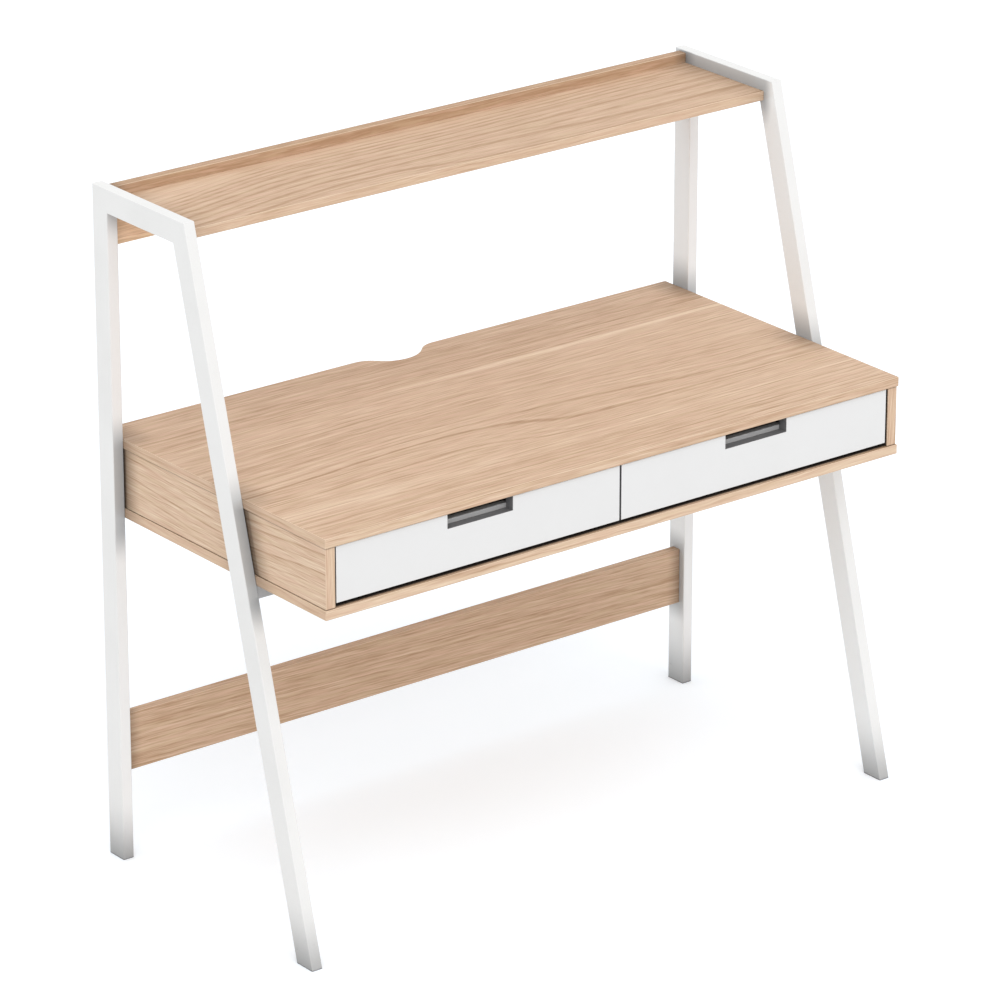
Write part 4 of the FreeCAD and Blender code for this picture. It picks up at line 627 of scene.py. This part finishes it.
# a fixing longer than this many times its width is a screw or bolt, and a short one is a cam lock
# where it is deeper than a washer is
fixingShapes = {"long": 1.2, "washer": 0.01, "flat": 0.0001}


def newPiece(name, shape):
    data = bpy.data.meshes.new(name)
    shape.to_mesh(data)
    shape.free()
    piece = bpy.data.objects.new(name, data)
    bpy.context.scene.collection.objects.link(piece)
    return piece


def looseParts(data):
    # the separate solids of a mesh, each as its list of corners
    shape = bmesh.new()
    shape.from_mesh(data)
    bmesh.ops.remove_doubles(shape, verts=shape.verts, dist=sameSpot)
    seen = set()
    parts = []
    for first in shape.verts:
        if first in seen:
            continue
        seen.add(first)
        waiting = [first]
        corners = []
        while waiting:
            corner = waiting.pop()
            corners.append(corner.co.copy())
            for edge in corner.link_edges:
                other = edge.other_vert(corner)
                if other not in seen:
                    seen.add(other)
                    waiting.append(other)
        parts.append(corners)
    shape.free()
    return parts


def headOf(corners):
    # middle of a fixing's outer face and the way that it faces, or nothing for a washer
    low = Vector(min(corner[axis] for corner in corners) for axis in range(3))
    high = Vector(max(corner[axis] for corner in corners) for axis in range(3))
    size = high - low
    longest = max(range(3), key=lambda axis: size[axis])
    shortest = min(range(3), key=lambda axis: size[axis])
    if size[longest] > fixingShapes["long"] * sorted(size)[1]:
        axis = longest
    elif size[shortest] > fixingShapes["washer"]:
        axis = shortest
    else:
        return None
    middle = (low + high) / 2
    widths = {}
    for sign, end in ((-1, low[axis]), (1, high[axis])):
        rim = [corner for corner in corners if abs(corner[axis] - end) < fixingShapes["flat"]]
        offsets = [corner - middle for corner in rim]
        for offset in offsets:
            offset[axis] = 0
        widths[sign] = max(offset.length for offset in offsets)
    sign = max(widths, key=widths.get)
    if axis == shortest:
        sign = 1 if axis == 1 else -1       # cams show at the back of the uprights and under the shelf
    outwards = Vector((0, 0, 0))
    outwards[axis] = sign
    middle[axis] = (high if sign > 0 else low)[axis]
    return middle, outwards


def recessCutter(recess):
    # the driver's tip, pointing down from just above the origin, narrower at its end
    shape = bmesh.new()
    if recess["shape"] == "hexagon":
        bmesh.ops.create_circle(shape, cap_ends=True, segments=6, radius=recess["reach"])
        grown = bmesh.ops.extrude_face_region(shape, geom=shape.faces[:])
        tip = [item for item in grown["geom"] if isinstance(item, bmesh.types.BMVert)]
        bmesh.ops.translate(shape, verts=tip, vec=(0, 0, -recess["depth"]))
    else:
        bmesh.ops.create_cube(shape, size=recess["wing"])
        walls = [face for face in shape.faces if abs(face.normal.z) < 0.5]
        for wing in bmesh.ops.extrude_discrete_faces(shape, faces=walls)["faces"]:
            out = wing.normal * (recess["reach"] - recess["wing"] / 2)
            bmesh.ops.translate(shape, verts=wing.verts, vec=out)
        for corner in shape.verts:
            corner.co.z = 0 if corner.co.z > 0 else -recess["depth"]
        tip = [corner for corner in shape.verts if corner.co.z < 0]
        bmesh.ops.scale(shape, verts=tip, vec=(recessTaper, recessTaper, 1))
    mouth = [corner for corner in shape.verts if corner not in set(tip)]
    bmesh.ops.translate(shape, verts=mouth, vec=(0, 0, recessOver))
    bmesh.ops.recalc_face_normals(shape, faces=shape.faces)
    return shape


def cutAway(piece, cutter):
    # takes the cutter's shape out of the piece for good, and removes the cutter
    cut = piece.modifiers.new("cut", "BOOLEAN")
    cut.operation = "DIFFERENCE"
    cut.solver = "EXACT"
    cut.object = cutter
    solid = bpy.data.meshes.new_from_object(piece.evaluated_get(bpy.context.evaluated_depsgraph_get()))
    piece.modifiers.clear()
    piece.data = solid
    bpy.data.objects.remove(cutter)


def mergedCopy(name, newName):
    # a closed copy of a CAD node's mesh
    shape = bmesh.new()
    shape.from_mesh(nodes[name].data)
    bmesh.ops.remove_doubles(shape, verts=shape.verts, dist=sameSpot)
    bmesh.ops.recalc_face_normals(shape, faces=shape.faces)
    return newPiece(newName, shape)


def dress(piece, name):
    # the new piece stands for the node, with its finish, on its body
    slotName = slotOfNode[name]
    piece.data.materials.clear()
    piece.data.materials.append(plainMaterials[slotName])
    for face in piece.data.polygons:
        face.material_index = 0
    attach(piece, nodes[name]["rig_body"])
    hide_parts(name)


def carvedHeads(name, recess):
    piece = mergedCopy(name, f"{name}_with_recesses")
    cutters = bmesh.new()
    tip = recessCutter(recess)
    single = bpy.data.meshes.new("tip")
    tip.to_mesh(single)
    tip.free()
    heads = [head for head in map(headOf, looseParts(nodes[name].data)) if head]
    for number, (middle, outwards) in enumerate(heads):
        turn = Matrix.Rotation(math.radians(recessTurn * number), 4, "Z")
        upright = Vector((0, 0, 1)).rotation_difference(outwards).to_matrix().to_4x4()
        place = Matrix.Translation(middle) @ upright
        before = set(cutters.verts)
        cutters.from_mesh(single)
        added = [corner for corner in cutters.verts if corner not in before]
        bmesh.ops.transform(cutters, matrix=place @ turn, verts=added)
    cutAway(piece, newPiece("cutter", cutters))
    dress(piece, name)
    return len(heads)


# long slots in the webs of the slides' rails

railSlots = {
    "rails": ("cabinet_rail", "middle_rail", "drawer_rail"),
    # places along the rail, in parts of its length from the middle
    "places": (-0.40, -0.26, -0.10, 0.06, 0.22, 0.36),
    "length": 0.016, "height": 0.0044, "width": 0.02, "corners": 16,
}


def slottedRail(name):
    piece = mergedCopy(name, f"{name}_with_slots")
    low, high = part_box(name)
    middle = (Vector(low) + Vector(high)) / 2
    cutters = bmesh.new()
    straight = railSlots["length"] - railSlots["height"]
    sideways = Matrix.Rotation(math.radians(90), 4, "Y")
    for part in railSlots["places"]:
        circle = bmesh.ops.create_circle(cutters, cap_ends=True, segments=railSlots["corners"],
                                         radius=railSlots["height"] / 2, matrix=sideways)
        for corner in circle["verts"]:
            corner.co.y += math.copysign(straight / 2, corner.co.y)
        centre = middle + Vector((-railSlots["width"] / 2, part * (high[1] - low[1]), 0))
        bmesh.ops.translate(cutters, verts=circle["verts"], vec=centre)
    grown = bmesh.ops.extrude_face_region(cutters, geom=cutters.faces[:])
    far = [item for item in grown["geom"] if isinstance(item, bmesh.types.BMVert)]
    bmesh.ops.translate(cutters, verts=far, vec=(railSlots["width"], 0, 0))
    bmesh.ops.recalc_face_normals(cutters, faces=cutters.faces)
    cutAway(piece, newPiece("cutter", cutters))
    dress(piece, name)


slotted = [name for name in nodes if name.endswith(railSlots["rails"])]
for name in slotted:
    slottedRail(name)
print("slides:", len(slotted), "rails with slots")

carved = sum(carvedHeads(name, recess) for recess in recesses.values() for name in recess["nodes"])
print("fixings:", carved, "heads with recesses")


# floor, light and camera

stage = {
    "floorSize": 60.0,
    "floorColour": tint(232, 232, 232),
    "seenColour": tint(241, 247, 253),
    "seenGlow": 0.2,
    "ambient": 0.92,
    "keyStrength": 0.88,
    "keyFrom": (-0.25, -0.62, 0.74),
    "keySpread": 55,
}


def whiteForCamera(tree):
    # 1 where the camera or a mirror looks straight at it
    path = addNode(tree, "ShaderNodeLightPath").outputs
    seen = sums(tree, "MAXIMUM", path["Is Camera Ray"], path["Is Glossy Ray"])
    return sums(tree, "MAXIMUM", seen, path["Is Transmission Ray"])


def makeFloor():
    shape = bmesh.new()
    bmesh.ops.create_grid(shape, x_segments=1, y_segments=1, size=stage["floorSize"] / 2)
    floor = newPiece("floor", shape)
    material = bpy.data.materials.new("studio_floor")
    material.use_nodes = True
    tree = material.node_tree
    tree.nodes.clear()
    seen = whiteForCamera(tree)
    colour = mixColour(tree, seen, stage["floorColour"], stage["seenColour"])
    matt = addNode(tree, "ShaderNodeBsdfDiffuse", {"Color": colour}).outputs[0]
    strength = sums(tree, "MULTIPLY", seen, stage["seenGlow"])
    glow = addNode(tree, "ShaderNodeEmission", {"Strength": strength}).outputs[0]
    total = addNode(tree, "ShaderNodeAddShader", {0: matt, 1: glow}).outputs[0]
    addNode(tree, "ShaderNodeOutputMaterial", {0: total})
    floor.data.materials.append(material)


def makeWorld():
    world = bpy.data.worlds.new("studio")
    bpy.context.scene.world = world
    world.use_nodes = True
    tree = world.node_tree
    tree.nodes.clear()
    strength = pick(tree, whiteForCamera(tree), stage["ambient"], 1.0)
    sky = addNode(tree, "ShaderNodeBackground", {"Color": (1, 1, 1, 1), "Strength": strength})
    addNode(tree, "ShaderNodeOutputWorld", {0: sky.outputs[0]})


def makeKeyLight():
    lamp = bpy.data.lights.new("key", "SUN")
    lamp.energy = stage["keyStrength"]
    lamp.angle = math.radians(stage["keySpread"])
    key = bpy.data.objects.new("key", lamp)
    key.rotation_mode = "QUATERNION"
    key.rotation_quaternion = Vector(stage["keyFrom"]).to_track_quat("Z", "Y")
    bpy.context.scene.collection.objects.link(key)


viewpoint = {
    "place": Vector((-5.29407, -6.78904, 3.95492)),
    "look": Vector((0.57134, 0.73417, -0.36683)),
    "sensor": 36.0,
    "focalPixels": 5706.22,
    "pixels": 1000,
    "far": 200,
}


def makeCamera():
    lens = bpy.data.cameras.new("camera")
    lens.sensor_width = viewpoint["sensor"]
    lens.lens = viewpoint["focalPixels"] * viewpoint["sensor"] / viewpoint["pixels"]
    lens.clip_end = viewpoint["far"]
    camera = bpy.data.objects.new("camera", lens)
    camera.location = viewpoint["place"]
    camera.rotation_mode = "QUATERNION"
    camera.rotation_quaternion = viewpoint["look"].to_track_quat("-Z", "Y")
    bpy.context.scene.collection.objects.link(camera)
    bpy.context.scene.camera = camera


makeFloor()
makeWorld()
makeKeyLight()
makeCamera()
bpy.context.scene.view_settings.view_transform = "Standard"
print("floor, light and camera set")
